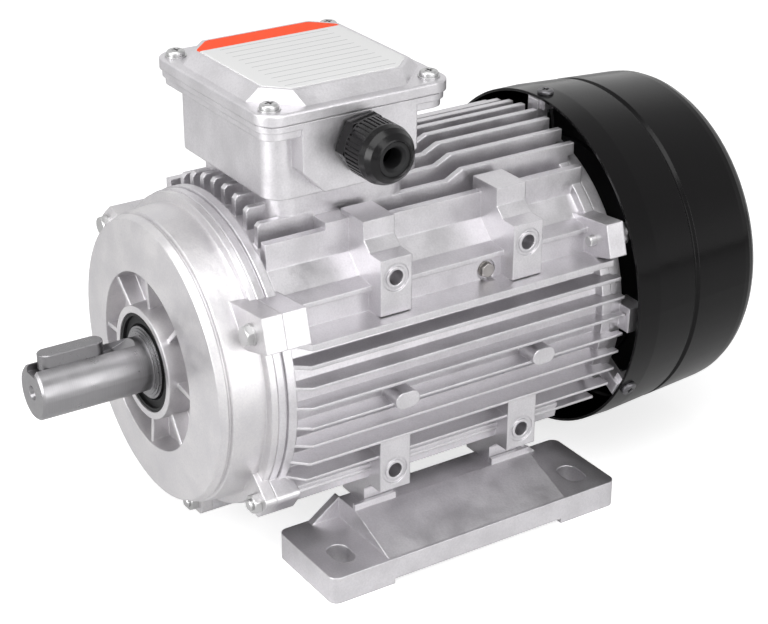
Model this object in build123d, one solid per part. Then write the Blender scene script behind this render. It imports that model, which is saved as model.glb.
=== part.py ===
from build123d import *
import os
from math import cos, pi, radians, sin, sqrt

# Three-phase induction motor, foot mounted, with a top terminal box.
# Millimetres. The origin is the centre of the foot bolt pattern in the mounting
# plane, +Z is up, the drive end points to -Y and the cable gland to +X.

# Driving sizes of the mounting
SHAFT_HEIGHT = 90.0
FOOT_SPACING_X = 140.0
FOOT_SPACING_Y = 125.0
FOOT_SLOT_WIDTH = 10.0
FOOT_SLOT_LENGTH = 15.0
SHAFT_D = 24.0
SHAFT_TIP_Y = -168.5
SHAFT_SHOULDER_Y = -118.5
ROTOR_SEAT_EXTRA = 13.0
KEY_WIDTH = 8.0
KEY_HEIGHT = 7.0
KEY_LENGTH = 29.0
KEY_FROM_TIP = 3.5
KEYWAY_FLOOR = 8.0
KEYWAY_END_Y = -122.0
KEY_STAND_OFF = 2.0

# Stator frame
BARREL_R = 66.0
FRAME_WALL = 5.0
BORE_R = BARREL_R - FRAME_WALL
SPIGOT_R = BORE_R + 1.5
SPIGOT_DEPTH = 4.0
FRAME_FRONT_Y = -91.0
FRAME_REAR_Y = 81.0
FRONT_RING_R = BARREL_R + 4.6
FRONT_RING_END_Y = FRAME_FRONT_Y + 8.1
REAR_RING_R = BARREL_R + 4.0
REAR_RING_LENGTH = 5.0
FIN_PITCH = 9.3
FIN_FRONT_Y = FRAME_FRONT_Y + 13.5
FIN_REAR_CLEAR_R = REAR_RING_R + 1.2
# step from the axis, reach past the barrel, drop below the step, thickness and rear end of each side fin
SIDE_FINS = (
    (3, 8.5, 1.7, 2.8, -4.0),
    (2, 7.0, 1.6, 1.8, 2.0),
    (1, 8.0, 1.3, 1.4, 4.0),
    (0, 8.0, 1.1, 1.3, 4.5),
    (-1, 8.0, 1.0, 1.2, 4.0),
    (-2, 6.5, 0.9, 1.2, 3.5),
    (-3, 4.7, 0.9, 1.2, 3.0),
    (-4, 1.3, 0.9, 1.2, 3.0),
    (-5, -5.5, 0.9, 1.2, 0.0),
)
TOP_FIN_COUNT = 4
TOP_FIN_THICKNESS = 3.0
TOP_FIN_FRONT_Y = FRAME_FRONT_Y + 12.0
TOP_FIN_FRONT_R = BARREL_R + 8.8
TOP_FIN_REAR_Y = FRAME_REAR_Y + 3.0
TOP_FIN_REAR_R = BARREL_R + 11.0
TOP_FIN_LOW_R = BARREL_R + 7.5
TOP_FIN_RISE_Y = 15.5
TOP_FIN_RISE_RUN = 7.5
BOTTOM_FIN_R = BARREL_R + 8.0
# corner rails, as (x, z) distances from the corner of the square round the barrel
CORNER_FRONT_Y = FRAME_FRONT_Y + 10.0
UPPER_CORNER = (
    (-28.0, -26.0),
    (-26.0, -3.8),
    (-22.1, -3.8),
    (-22.1, -15.7),
    (-14.0, -23.8),
    (-4.5, -25.0),
    (-4.5, -27.2),
    (-6.6, -27.8),
    (-6.6, -38.0),
    (-14.0, -40.0),
)
LOWER_CORNER = (
    (-26.0, -26.0),
    (-26.0, -5.5),
    (-22.1, -5.5),
    (-22.1, -7.5),
    (-15.0, -13.2),
    (-7.0, -14.8),
    (-5.5, -22.0),
    (-14.0, -30.0),
)
LOWER_RAIL_END_Y = FRAME_REAR_Y - 21.0
BOSS_CENTRE_Y = 33.7
BOSS_WIDTH = 15.2
BOSS_FACE_X = BARREL_R + 2.5
BOSS_TOP_Z = BARREL_R + 1.4
BOSS_INNER_X = BARREL_R - 28.5
BOSS_SHOULDER_X = BARREL_R - 10.7
PAD_HOLE_Z = BARREL_R - 20.3
PAD_HOLE_D = 6.8
PAD_HOLE_DEPTH = 13.0
PAD_RING_R = 4.7
PAD_GROOVE_R = 6.2
PAD_GROOVE_DEPTH = 0.7
POST_WIDTH = 11.8
POST_HEIGHT = 7.6
POST_TIP_X = BARREL_R + 10.5
POSTS = ((-32.7, -8.1), (38.7, -7.1))
SPOT_FACE = (-33.0, -22.0, -52.5, -40.0, -0.6)

# End shield fixing lugs and bolts
LUG_BOLT_R = BARREL_R + 9.0
LUG_TOP_ANGLE = 29.0
LUG_SIDE_ANGLE = -37.8
LUG_BOTTOM_ANGLE = -90.0
# outlines of the two upper lugs, as (x, z) distances from their bolt
LUG_RIGHT = (
    (-21.6, 6.6),
    (-12.9, 8.0),
    (8.4, 10.2),
    (12.4, -4.4),
    (-3.6, -8.9),
    (-19.6, -9.4),
)
LUG_LEFT = (
    (21.6, 6.6),
    (12.9, 8.0),
    (3.3, 10.0),
    (-4.4, 3.6),
    (-9.4, -5.4),
    (3.6, -8.9),
    (19.6, -9.4),
)
LUG_PLAIN_R = LUG_BOLT_R + 4.8
LUG_PLAIN_HALF = 7.0
LUG_FRAME_LENGTH = 11.0
LUG_REAR_LENGTH = 9.0
SHIELD_LUG_LENGTH = 9.5
SHIELD_PLAIN_LUG_LENGTH = 5.5
REAR_SHIELD_LUG_LENGTH = 7.0
REAR_SHIELD_LUG_HALF = 5.2
REAR_LUG_R = LUG_BOLT_R + 4.6
M5_D = 5.0
M5_CLEAR_D = 5.5
M5_HEAD_AF = 8.0
M5_HEAD_H = 3.0
M5_FLANGE_D = 9.4
M5_FLANGE_H = 1.0
REAR_BOLT_PROUD = 3.0
M5_NUT_H = 3.4
STUD_PROUD = 1.4

# Drive end shield
SHIELD_BODY_R = BARREL_R - 1.9
SHIELD_BODY_Y = FRAME_FRONT_Y - 17.8
SHIELD_BODY_END_R = SHIELD_BODY_R + 1.2
SHIELD_BODY_END_Y = FRAME_FRONT_Y - 3.4
SHIELD_FLANGE_R = FRONT_RING_R - 1.1
SHIELD_GROOVE_R = SHIELD_BODY_R - 0.7
SHIELD_GROOVE_Y = SHIELD_BODY_Y - 2.0
FACE_OUTER_R = SHIELD_BODY_R - 2.1
FACE_OUTER_Y = SHIELD_BODY_Y - 5.3
FACE_INNER_R = 39.7
FACE_INNER_Y = SHIELD_BODY_Y - 7.4
SHIELD_WALL = 4.0
HUB_R = 25.0
HUB_Y = FACE_INNER_Y - 1.8
BOWL_FLOOR_Y = SHIELD_BODY_Y + 1.8
RIB_COUNT = 8
RIB_THICKNESS = 2.0

# Bearings, 25 x 52 x 15 mm
BEARING_BORE_R = 12.5
BEARING_OUTER_R = 26.0
BEARING_WIDTH = 15.0
BALL_R = 3.97
PITCH_R = 19.25
BALL_COUNT = 9
GROOVE_R = 4.05
RACE_STEP = 3.3
CAGE_HALF = 4.9
CAGE_THICKNESS = 2.4
POCKET_PLAY = 0.05
BEARING_SHIELD_T = 0.8
BEARING_SHIELD_GAP = 0.3
FRONT_BEARING_Y = HUB_Y + 14.0
REAR_BEARING_Y = FRAME_REAR_Y + 1.0
HOUSING_R = 31.5
WAVE_WASHER_SPACE = 1.5
WAVE_WASHER_T = 0.5

# Shaft seal and collar
SEAL_R = 22.0
SEAL_WIDTH = 7.0
SEAL_FRONT_Y = HUB_Y + 0.8
SEAL_CASE_T = 1.6
COLLAR_R = 16.0
SEAL_GAP = 0.1

# Active parts
CORE_FRONT_Y = -57.0
CORE_REAR_Y = 53.0
CORE_YOKE = 9.0
SLOT_DEPTH = 12.5
SLOT_OUTER_R = BORE_R - CORE_YOKE
SLOT_INNER_R = SLOT_OUTER_R - SLOT_DEPTH
SLOT_COUNT = 24
SLOT_WIDTH = 4.0
SLOT_OPENING = 1.6
STATOR_BORE_R = SLOT_INNER_R - 2.9
AIR_GAP = 0.4
ROTOR_BORE_R = 16.0
COIL_INNER_R = STATOR_BORE_R + 2.0
COIL_OUTER_R = BORE_R - 4.0
COIL_LENGTH = 19.0
BAR_COUNT = 20
BAR_R = 1.8
BAR_CIRCLE_R = STATOR_BORE_R - 4.0
END_RING_LENGTH = 7.0
END_RING_INNER_R = STATOR_BORE_R - 11.6
CAGE_FIN_LENGTH = 6.0

# Rear end shield, fan and cover
REAR_FLANGE_R = REAR_RING_R - 0.2
REAR_FLANGE_LENGTH = 6.0
REAR_SEAT_R = 9.0
TAB_ANGLES = (90.0, -30.0, 210.0)
PLAIN_TAB_ANGLES = (-2.0, 182.0)
TAB_WIDTH = 12.0
TAB_EAR_T = 4.5
TAB_WEB_WIDTH = 7.0
TAB_WEB_LENGTH = 6.0
COVER_R = LUG_BOLT_R + 6.5
COVER_FRONT_Y = FRAME_REAR_Y + 6.7
COVER_STRAIGHT_Y = COVER_FRONT_Y + 12.3
COVER_BEAD_Y = COVER_FRONT_Y + 35.3
COVER_BEAD_DEPTH = 1.3
COVER_REAR_R = COVER_R - 3.3
COVER_END_Y = 165.0
COVER_REAR_Y = COVER_END_Y - 11.0
TAB_END_Y = COVER_FRONT_Y + 10.3
PLAIN_TAB_END_Y = COVER_FRONT_Y + 6.8
PLAIN_TAB_R = COVER_R - 5.0
COVER_T = 1.2
COVER_SCREW_Y = COVER_FRONT_Y + 5.5
COVER_SCREW_D = 4.0
COVER_SCREW_LENGTH = 9.0
COVER_SCREW_HEAD_D = 7.6
COVER_SCREW_HEAD_H = 1.9
FAN_FRONT_Y = COVER_FRONT_Y + 17.3
FAN_HUB_LENGTH = 24.0
FAN_HUB_R = 15.0
FAN_R = COVER_R - 13.5
FAN_BLADES = 7
FAN_BLADE_WIDTH = 22.0
FAN_BLADE_T = 2.4
FAN_DISC_T = 2.6
SHAFT_REAR_Y = FAN_FRONT_Y + FAN_HUB_LENGTH + 7.0
CIRCLIP_T = 1.2

# Terminal box
BOX_Y = -37.5
NECK_HALF_X = 34.0
NECK_HALF_Y = 32.5
NECK_RISE = 10.2
NECK_TOP_Z = SHAFT_HEIGHT + BARREL_R + NECK_RISE
BOX_GASKET_T = 0.6
BASE_HALF_X = 38.0
BASE_LEFT_X = 44.5
BASE_HALF_Y = 37.0
BASE_CORNER_R = 9.0
BASE_WALL = 3.0
BASE_FLOOR = 3.6
BOX_HEIGHT = 36.3
RIM_Z = NECK_TOP_Z + BOX_HEIGHT
RIM_T = 2.8
RIM_HALF_X = 47.5
RIM_HALF_Y = 44.4
RIM_CORNER_R = 8.6
STEP_T = 3.4
STEP_INSET = 1.3
LID_GASKET_T = 0.6
LID_HALF_X = 48.5
LID_HALF_Y = 45.3
LID_CORNER_R = 9.0
LID_T = 4.9
LID_WALL = 2.6
LID_RISE = 5.3
PANEL_BASE_X = 44.5
PANEL_BASE_Y = 41.5
PANEL_BASE_CUT = 17.5
PANEL_TOP_X = 38.0
PANEL_TOP_Y = 36.0
PANEL_TOP_CUT = 9.7
LABEL_X = 36.5
LABEL_Y = 34.5
LABEL_CUT = 9.0
LABEL_T = 0.3
LID_SCREW_X = 40.0
LID_SCREW_Y = 38.0
LID_SCREW_D = 4.0
LID_SCREW_HEAD_D = 8.0
LID_SCREW_HEAD_H = 2.2
LID_WASHER_D = 9.4
LID_WASHER_T = 0.6
ENTRY_HALF_Y = 27.3
ENTRY_BOTTOM_Z = RIM_Z - 31.5
ENTRY_CHAMFER = 10.0
ENTRY_WALL = 4.0
POCKET_HALF_Y = 20.0
POCKET_BOTTOM_Z = ENTRY_BOTTOM_Z + 5.0
PASSAGE = (-22.0, -4.0, -66.0, -30.0)
BOX_SCREW_X = 29.0
BOX_SCREW_Y = 26.0

# Cable gland
GLAND_Z = RIM_Z - 12.9
GLAND_THREAD_D = 16.0
GLAND_HEX_AF = 22.7
GLAND_HEX_LENGTH = 5.6
GLAND_HEX_TURN = 6.0
GLAND_WASHER_T = 1.2
GLAND_WASHER_D = 19.6
GLAND_CAP_R = 12.7
GLAND_CAP_LENGTH = 19.0
GLAND_OPENING_R = 7.3
GLAND_SEAL_R = 4.4
GLAND_RIBS = 40
GLAND_NUT_AF = 22.0
GLAND_NUT_T = 4.0

# Terminal block
BLOCK = (3.5, 24.5, -62.0, -13.0, 9.0)
STUD_X = (9.0, 19.0)
STUD_PITCH = 15.0
STUD_D = 4.0
STUD_NUT_AF = 7.0
STUD_NUT_T = 3.0
LINK_T = 1.0
LEAD_R = 1.1
LEAD_LOOP_RISE = 14.0
EARTH_X = -30.5

# Feet
FOOT_INNER_X = 39.6
FOOT_OUTER_X = 86.0
FOOT_HALF_Y = 76.2
FOOT_T = 12.6
FOOT_CORNER_R = 4.0
FOOT_RECESS_HALF = 45.0
FOOT_RECESS = 2.4
FOOT_BODY_X = FOOT_INNER_X + 3.9
FOOT_BODY_HALF_Y = 47.4
FOOT_LIP_GAP = 0.3
FOOT_LIP_T = 2.0
FOOT_LIP_H = 2.8
FOOT_LIP_X = BOSS_SHOULDER_X + FOOT_LIP_GAP
FOOT_SLOPE_TOP_X = FOOT_LIP_X + FOOT_LIP_T
FOOT_SLOPE_END_X = FOOT_OUTER_X - 1.4
FOOT_GUSSET_RUN = 14.0
FOOT_BOLT_X = BOSS_SHOULDER_X - 5.8
FOOT_BOLT_D = 6.0
FOOT_BOLT_CLEAR_D = 6.6
FOOT_BOLT_AF = 10.0
FOOT_BOLT_HEAD = 4.0
FOOT_COUNTERBORE_D = 13.5
FOOT_GRIP_T = 11.6
FOOT_COUNTERBORE_Z = SHAFT_HEIGHT - BOSS_TOP_Z - FOOT_GRIP_T
FOOT_BOLT_GRIP = 14.0
FOOT_WASHER_T = 1.2
FOOT_WASHER_D = 12.0
EARTH_SCREW_Y = 18.5
EARTH_DROP = 33.0
EARTH_RISE = BARREL_R - EARTH_DROP
EARTH_SCREW_Z = SHAFT_HEIGHT + EARTH_RISE
EARTH_SEAT_X = BARREL_R - 8.0
EARTH_SEAT_R = 4.6
EARTH_SCREW_D = 4.0
EARTH_CORE_GAP = 1.7
EARTH_SHANK = EARTH_SEAT_X - sqrt(BORE_R ** 2 - EARTH_RISE ** 2) - EARTH_CORE_GAP

SHAFT_R = SHAFT_D / 2
REAR_BEARING_END_Y = REAR_BEARING_Y + BEARING_WIDTH


def put(shape, x, y, z):
    """Moves a shape by the given distances."""
    return Pos(x, y, z) * shape


def aim(shape, origin, direction, x_dir=None):
    """Places a shape built on the Z axis at a point, turned to a direction."""
    if x_dir is None:
        plane = Plane(origin=origin, z_dir=direction)
    else:
        plane = Plane(origin=origin, x_dir=x_dir, z_dir=direction)
    return plane.location * shape


def turned(profile):
    """Turns a closed (radius, y) profile about the shaft axis."""
    face = make_face(Polyline(*profile, close=True))
    return put(revolve(face, Axis.Y), 0, 0, SHAFT_HEIGHT)


def upright(outline, y0, y1):
    """Extrudes a closed (x, z) outline from y0 to y1."""
    face = Plane.XZ.offset(-y0) * make_face(Polyline(*outline, close=True))
    return extrude(face, amount=-(y1 - y0))


def sideways(outline, x0, x1):
    """Extrudes a closed (y, z) outline from x0 to x1."""
    face = Plane.YZ.offset(x0) * make_face(Polyline(*outline, close=True))
    return extrude(face, amount=x1 - x0)


def flat(outline, z0, z1):
    """Extrudes a closed (x, y) outline from z0 to z1."""
    face = Plane.XY.offset(z0) * make_face(Polyline(*outline, close=True))
    return extrude(face, amount=z1 - z0)


def block(x0, x1, y0, y1, z0, z1):
    """A box between two corners."""
    box = Box(x1 - x0, y1 - y0, z1 - z0)
    return put(box, (x0 + x1) / 2, (y0 + y1) / 2, (z0 + z1) / 2)


def rounded(half_x, half_y, radius, z0, z1, left_x=None):
    """A rounded rectangle about the box centre, from z0 to z1, with its own left reach."""
    left = half_x if left_x is None else left_x
    face = Pos((half_x - left) / 2, BOX_Y, z0) * RectangleRounded(half_x + left, 2 * half_y, radius)
    return extrude(face, amount=z1 - z0)


def octagon(half_x, half_y, cut, z):
    """The face of a rectangle with cut corners about the box centre."""
    points = (
        (half_x, BOX_Y - half_y + cut),
        (half_x, BOX_Y + half_y - cut),
        (half_x - cut, BOX_Y + half_y),
        (-half_x + cut, BOX_Y + half_y),
        (-half_x, BOX_Y + half_y - cut),
        (-half_x, BOX_Y - half_y + cut),
        (-half_x + cut, BOX_Y - half_y),
        (half_x - cut, BOX_Y - half_y),
    )
    return Pos(0, 0, z) * make_face(Polyline(*points, close=True))


def rod(radius, start, end):
    """A round rod between two points."""
    line = Vector(*end) - Vector(*start)
    bar = Cylinder(radius, line.length, align=(Align.CENTER, Align.CENTER, Align.MIN))
    return aim(bar, start, line)


def mirrored(shape):
    """The mirror image on the other side of the shaft."""
    return mirror(shape, about=Plane.YZ)


def polar(radius, angle, y):
    """The point at a radius and angle around the shaft axis."""
    turn = radians(angle)
    return (radius * cos(turn), y, SHAFT_HEIGHT + radius * sin(turn))


def around(shape, angle):
    """Turns a shape about the shaft axis."""
    centred = put(shape, 0, 0, -SHAFT_HEIGHT)
    return put(Rot(0, -angle, 0) * centred, 0, 0, SHAFT_HEIGHT)


def hexagon(across_flats, height):
    """A hexagonal prism standing on the XY plane."""
    face = RegularPolygon(across_flats / 2, 6, major_radius=False)
    return extrude(face, amount=height)


def hex_bolt(diameter, length, across_flats, head, flange_d=0.0, flange_h=0.0):
    """A hexagon bolt whose shank runs down from the XY plane."""
    shank = Cylinder(diameter / 2, length, align=(Align.CENTER, Align.CENTER, Align.MAX))
    shank = chamfer(shank.edges().group_by(Axis.Z)[0], diameter * 0.1)
    cap = Pos(0, 0, flange_h) * hexagon(across_flats, head)
    crown_r = across_flats * 0.56
    crown = Cylinder(crown_r, head, align=(Align.CENTER, Align.CENTER, Align.MIN))
    crown = chamfer(crown.edges().group_by(Axis.Z)[-1], head * 0.22)
    cap = cap & (Pos(0, 0, flange_h) * crown)
    bolt = shank + cap
    if flange_d:
        bolt += Cylinder(flange_d / 2, flange_h, align=(Align.CENTER, Align.CENTER, Align.MIN))
    return bolt


def pan_screw(diameter, length, head_d, head_h):
    """A cross-recessed pan head screw whose shank runs down from the XY plane."""
    shank = Cylinder(diameter / 2, length, align=(Align.CENTER, Align.CENTER, Align.MAX))
    head = Cylinder(head_d / 2, head_h, align=(Align.CENTER, Align.CENTER, Align.MIN))
    head = fillet(head.edges().group_by(Axis.Z)[-1], head_h * 0.6)
    screw = shank + head
    slot = Box(head_d * 0.5, head_d * 0.13, head_h, align=(Align.CENTER, Align.CENTER, Align.MIN))
    slot = Pos(0, 0, head_h * 0.45) * slot
    return screw - slot - Rot(0, 0, 90) * slot


def washer(outer_d, inner_d, thickness):
    """A flat washer lying under the XY plane."""
    ring = Circle(outer_d / 2) - Circle(inner_d / 2)
    return extrude(ring, amount=-thickness)


def lug_points():
    """Centres and angles of the drive end fixing lugs."""
    return (
        LUG_TOP_ANGLE,
        180 - LUG_TOP_ANGLE,
        LUG_SIDE_ANGLE,
        180 - LUG_SIDE_ANGLE,
        LUG_BOTTOM_ANGLE,
    )


def rear_lug_points():
    """Angles of the rear fixing lugs."""
    return (LUG_TOP_ANGLE, 180 - LUG_TOP_ANGLE, LUG_BOTTOM_ANGLE)


def top_lug(points, y0, y1):
    """One of the two larger lugs at the upper corners, from its outline about the bolt."""
    turn = radians(LUG_TOP_ANGLE)
    bolt_x = LUG_BOLT_R * cos(turn)
    if points is LUG_LEFT:
        bolt_x = -bolt_x
    bolt_z = SHAFT_HEIGHT + LUG_BOLT_R * sin(turn)
    outline = [(bolt_x + x, bolt_z + z) for x, z in points]
    return upright(outline, y0, y1)


def plain_lug(angle, y0, y1, outer_r=LUG_PLAIN_R, half=LUG_PLAIN_HALF):
    """A straight lug reaching out from the barrel at an angle."""
    inner_r = SHIELD_BODY_R - 8
    z0 = SHAFT_HEIGHT - half
    z1 = SHAFT_HEIGHT + half
    lug = block(inner_r, outer_r, y0, y1, z0, z1)
    edges = lug.edges().filter_by(Axis.Y).group_by(Axis.X)[-1]
    return around(fillet(edges, 2.5), angle)


def lugs(y0, y1, plain_y0):
    """All drive end lugs up to y1: the upper ones from y0, the others from plain_y0."""
    shapes = [top_lug(LUG_RIGHT, y0, y1), top_lug(LUG_LEFT, y0, y1)]
    for angle in lug_points()[2:]:
        shapes.append(plain_lug(angle, plain_y0, y1))
    return shapes


def side_fin(step, reach, drop, thickness, overhang):
    """One horizontal cooling fin on the gland side."""
    low = step * FIN_PITCH - drop
    far = max(abs(low), abs(low + thickness))
    root = sqrt(BARREL_R ** 2 - far ** 2) - 1.5
    ring = sqrt(FRONT_RING_R ** 2 - far ** 2) - 0.3
    tip = BARREL_R + reach
    rear = FRAME_REAR_Y + overhang
    outline = [(root, FRONT_RING_END_Y - 1), (ring, FRONT_RING_END_Y - 1), (tip, FIN_FRONT_Y)]
    if rear > FRAME_REAR_Y:
        near = min(abs(low), abs(low + thickness))
        clear = sqrt(FIN_REAR_CLEAR_R ** 2 - near ** 2)
        outline += [(tip, rear), (clear, rear), (clear, FRAME_REAR_Y), (root, FRAME_REAR_Y)]
    else:
        outline += [(tip, rear), (root, rear)]
    return flat(outline, SHAFT_HEIGHT + low, SHAFT_HEIGHT + low + thickness)


def top_fin(x):
    """One upright cooling fin on top, low where it passes the terminal box."""
    def height(radius):
        return SHAFT_HEIGHT + sqrt(radius ** 2 - x ** 2)

    root = SHAFT_HEIGHT + sqrt(BARREL_R ** 2 - x ** 2) - 2.5
    clear = SHAFT_HEIGHT + sqrt(FIN_REAR_CLEAR_R ** 2 - (x - TOP_FIN_THICKNESS / 2) ** 2)
    rise_end = TOP_FIN_RISE_Y + TOP_FIN_RISE_RUN
    outline = (
        (TOP_FIN_FRONT_Y, root),
        (TOP_FIN_FRONT_Y, height(TOP_FIN_FRONT_R) - 1.5),
        (TOP_FIN_FRONT_Y + 1.5, height(TOP_FIN_FRONT_R)),
        (BOX_Y, height(TOP_FIN_FRONT_R)),
        (BOX_Y, height(TOP_FIN_LOW_R)),
        (TOP_FIN_RISE_Y, height(TOP_FIN_LOW_R)),
        (rise_end, height(TOP_FIN_REAR_R)),
        (TOP_FIN_REAR_Y, height(TOP_FIN_REAR_R)),
        (TOP_FIN_REAR_Y, clear),
        (FRAME_REAR_Y, clear),
        (FRAME_REAR_Y, root),
    )
    half = TOP_FIN_THICKNESS / 2
    return sideways(outline, x - half, x + half)


def bottom_fin(x):
    """One upright cooling fin below the barrel."""
    tip = SHAFT_HEIGHT - sqrt(BOTTOM_FIN_R ** 2 - x ** 2)
    root = SHAFT_HEIGHT - sqrt(BARREL_R ** 2 - x ** 2) + 2.5
    half = TOP_FIN_THICKNESS / 2
    return block(x - half, x + half, TOP_FIN_FRONT_Y, FRAME_REAR_Y - 1, tip, root)


def upper_corner():
    """The longitudinal corner rail above the side fins."""
    points = [(BARREL_R + x, SHAFT_HEIGHT + BARREL_R + z) for x, z in UPPER_CORNER]
    return upright(points, CORNER_FRONT_Y, FRAME_REAR_Y)


def lower_corner():
    """The longitudinal corner rail below the side fins."""
    points = [(BARREL_R + x, SHAFT_HEIGHT - BARREL_R - z) for x, z in LOWER_CORNER]
    return upright(points, FRONT_RING_END_Y - 1, LOWER_RAIL_END_Y)


def post(y, dz):
    """A cast rest with a flattened end that stands out between the side fins."""
    face = SlotOverall(POST_WIDTH, POST_HEIGHT)
    start = BARREL_R - 4
    bar = extrude(face, amount=POST_TIP_X - start)
    return aim(bar, (start, y, SHAFT_HEIGHT + dz), (1, 0, 0), (0, 1, 0))


def boss(sign, y):
    """A pad boss: sign 1 above the shaft, -1 below it."""
    outline = [
        (BOSS_INNER_X, BOSS_TOP_Z - 21.4),
        (BOSS_INNER_X, BOSS_TOP_Z),
        (BOSS_SHOULDER_X, BOSS_TOP_Z),
        (BOSS_SHOULDER_X, PAD_HOLE_Z + 13.6),
        (BOSS_SHOULDER_X + 4.7, PAD_HOLE_Z + 9.3),
        (BOSS_FACE_X, PAD_HOLE_Z + 8.9),
        (BOSS_FACE_X, PAD_HOLE_Z - 16.2),
        (BARREL_R - 16.0, PAD_HOLE_Z - 18.7),
    ]
    points = [(x, SHAFT_HEIGHT + sign * z) for x, z in outline]
    half = BOSS_WIDTH / 2
    return upright(points, y - half, y + half)


def boss_cuts(sign, y):
    """The tapped hole and the ring groove of a pad boss."""
    z = SHAFT_HEIGHT + sign * PAD_HOLE_Z
    face = (BOSS_FACE_X, y, z)
    hole = Cylinder(PAD_HOLE_D / 2, PAD_HOLE_DEPTH, align=(Align.CENTER, Align.CENTER, Align.MAX))
    ring = extrude(Circle(PAD_GROOVE_R) - Circle(PAD_RING_R), amount=-PAD_GROOVE_DEPTH)
    return [aim(hole, face, (1, 0, 0)), aim(ring, face, (1, 0, 0))]


def frame_bore():
    """The inside of the frame: core bore and the two spigot recesses."""
    front_spigot = FRAME_FRONT_Y + SPIGOT_DEPTH
    rear_spigot = FRAME_REAR_Y - SPIGOT_DEPTH
    return turned([
        (0, FRAME_FRONT_Y - 30),
        (SPIGOT_R, FRAME_FRONT_Y - 30),
        (SPIGOT_R, front_spigot),
        (BORE_R, front_spigot),
        (BORE_R, rear_spigot),
        (SPIGOT_R, rear_spigot),
        (SPIGOT_R, FRAME_REAR_Y + 30),
        (0, FRAME_REAR_Y + 30),
    ])


def box_screw_points():
    """Centres of the screws that hold the box to the neck."""
    return [
        (sx * BOX_SCREW_X, BOX_Y + sy * BOX_SCREW_Y)
        for sx in (1, -1)
        for sy in (1, -1)
    ]


def stator_frame():
    """The finned aluminium housing with neck, bosses and lugs."""
    ring_front = FRONT_RING_R - 0.6
    groove = FRAME_FRONT_Y + 3.2
    barrel = turned([
        (0, FRAME_FRONT_Y),
        (ring_front, FRAME_FRONT_Y),
        (ring_front, groove),
        (ring_front - 0.9, groove + 0.3),
        (ring_front - 0.9, groove + 0.7),
        (FRONT_RING_R, groove + 1.0),
        (FRONT_RING_R, FRONT_RING_END_Y),
        (BARREL_R, FRONT_RING_END_Y + 0.8),
        (BARREL_R, FRAME_REAR_Y - REAR_RING_LENGTH - 1),
        (REAR_RING_R, FRAME_REAR_Y - REAR_RING_LENGTH),
        (REAR_RING_R, FRAME_REAR_Y),
        (0, FRAME_REAR_Y),
    ])
    right = []
    for step, reach, drop, thickness, overhang in SIDE_FINS:
        right.append(side_fin(step, reach, drop, thickness, overhang))
    for i in range(TOP_FIN_COUNT):
        right.append(top_fin((i + 0.5) * FIN_PITCH))
        right.append(bottom_fin((i + 0.5) * FIN_PITCH))
    right.append(upper_corner())
    right.append(lower_corner())
    for sign in (1, -1):
        for side in (1, -1):
            right.append(boss(sign, side * BOSS_CENTRE_Y))
    for y, dz in POSTS:
        right.append(post(y, dz))
    x0, x1, y0, y1, rise = SPOT_FACE
    top = SHAFT_HEIGHT + BARREL_R + rise
    right.append(block(BARREL_R + x0, BARREL_R + x1, y0, y1, top - 12, top))
    lug_y = FRAME_REAR_Y - LUG_REAR_LENGTH
    left = [mirrored(shape) for shape in right]
    neck = rounded(NECK_HALF_X, NECK_HALF_Y, BASE_CORNER_R, SHAFT_HEIGHT + 40, NECK_TOP_Z)
    ends = lugs(FRAME_FRONT_Y, FRAME_FRONT_Y + LUG_FRAME_LENGTH, FRAME_FRONT_Y)
    ends.append(top_lug(LUG_RIGHT, lug_y, FRAME_REAR_Y))
    ends.append(top_lug(LUG_LEFT, lug_y, FRAME_REAR_Y))
    ends.append(plain_lug(LUG_BOTTOM_ANGLE, lug_y, FRAME_REAR_Y, REAR_LUG_R))
    frame = barrel.fuse(*right, *left, neck, *ends)

    cuts = [frame_bore()]
    for sign in (1, -1):
        for side in (1, -1):
            for cut in boss_cuts(sign, side * BOSS_CENTRE_Y):
                cuts += [cut, mirrored(cut)]
    x0, x1, y0, y1 = PASSAGE
    cuts.append(block(x0, x1, y0, y1, SHAFT_HEIGHT + 30, NECK_TOP_Z + 1))
    front = FRAME_FRONT_Y
    rear = FRAME_REAR_Y
    for angle in lug_points():
        start = polar(LUG_BOLT_R, angle, front - 1)
        end = polar(LUG_BOLT_R, angle, front + LUG_FRAME_LENGTH + 1)
        cuts.append(rod(M5_D / 2, start, end))
    for angle in rear_lug_points():
        start = polar(LUG_BOLT_R, angle, rear - LUG_REAR_LENGTH - REAR_BOLT_PROUD - 1)
        cuts.append(rod(M5_D / 2, start, polar(LUG_BOLT_R, angle, rear + 1)))
    for x, y in box_screw_points():
        cuts.append(rod(M5_D / 2, (x, y, NECK_TOP_Z - 10), (x, y, NECK_TOP_Z + 1)))
    base_z = SHAFT_HEIGHT - BOSS_TOP_Z
    for sx in (1, -1):
        for sy in (1, -1):
            x = sx * FOOT_BOLT_X
            y = sy * BOSS_CENTRE_Y
            cuts.append(rod(FOOT_BOLT_D / 2, (x, y, base_z - 1), (x, y, base_z + FOOT_BOLT_GRIP)))
    seat = (EARTH_SEAT_X, EARTH_SCREW_Y, EARTH_SCREW_Z)
    outside = (BARREL_R - 2.5, EARTH_SCREW_Y, EARTH_SCREW_Z)
    hole_end = (EARTH_SEAT_X - EARTH_SHANK - 0.4, EARTH_SCREW_Y, EARTH_SCREW_Z)
    cuts.append(rod(EARTH_SCREW_D / 2, hole_end, outside))
    cuts.append(rod(EARTH_SEAT_R, seat, outside))
    return frame.cut(*cuts)


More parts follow.
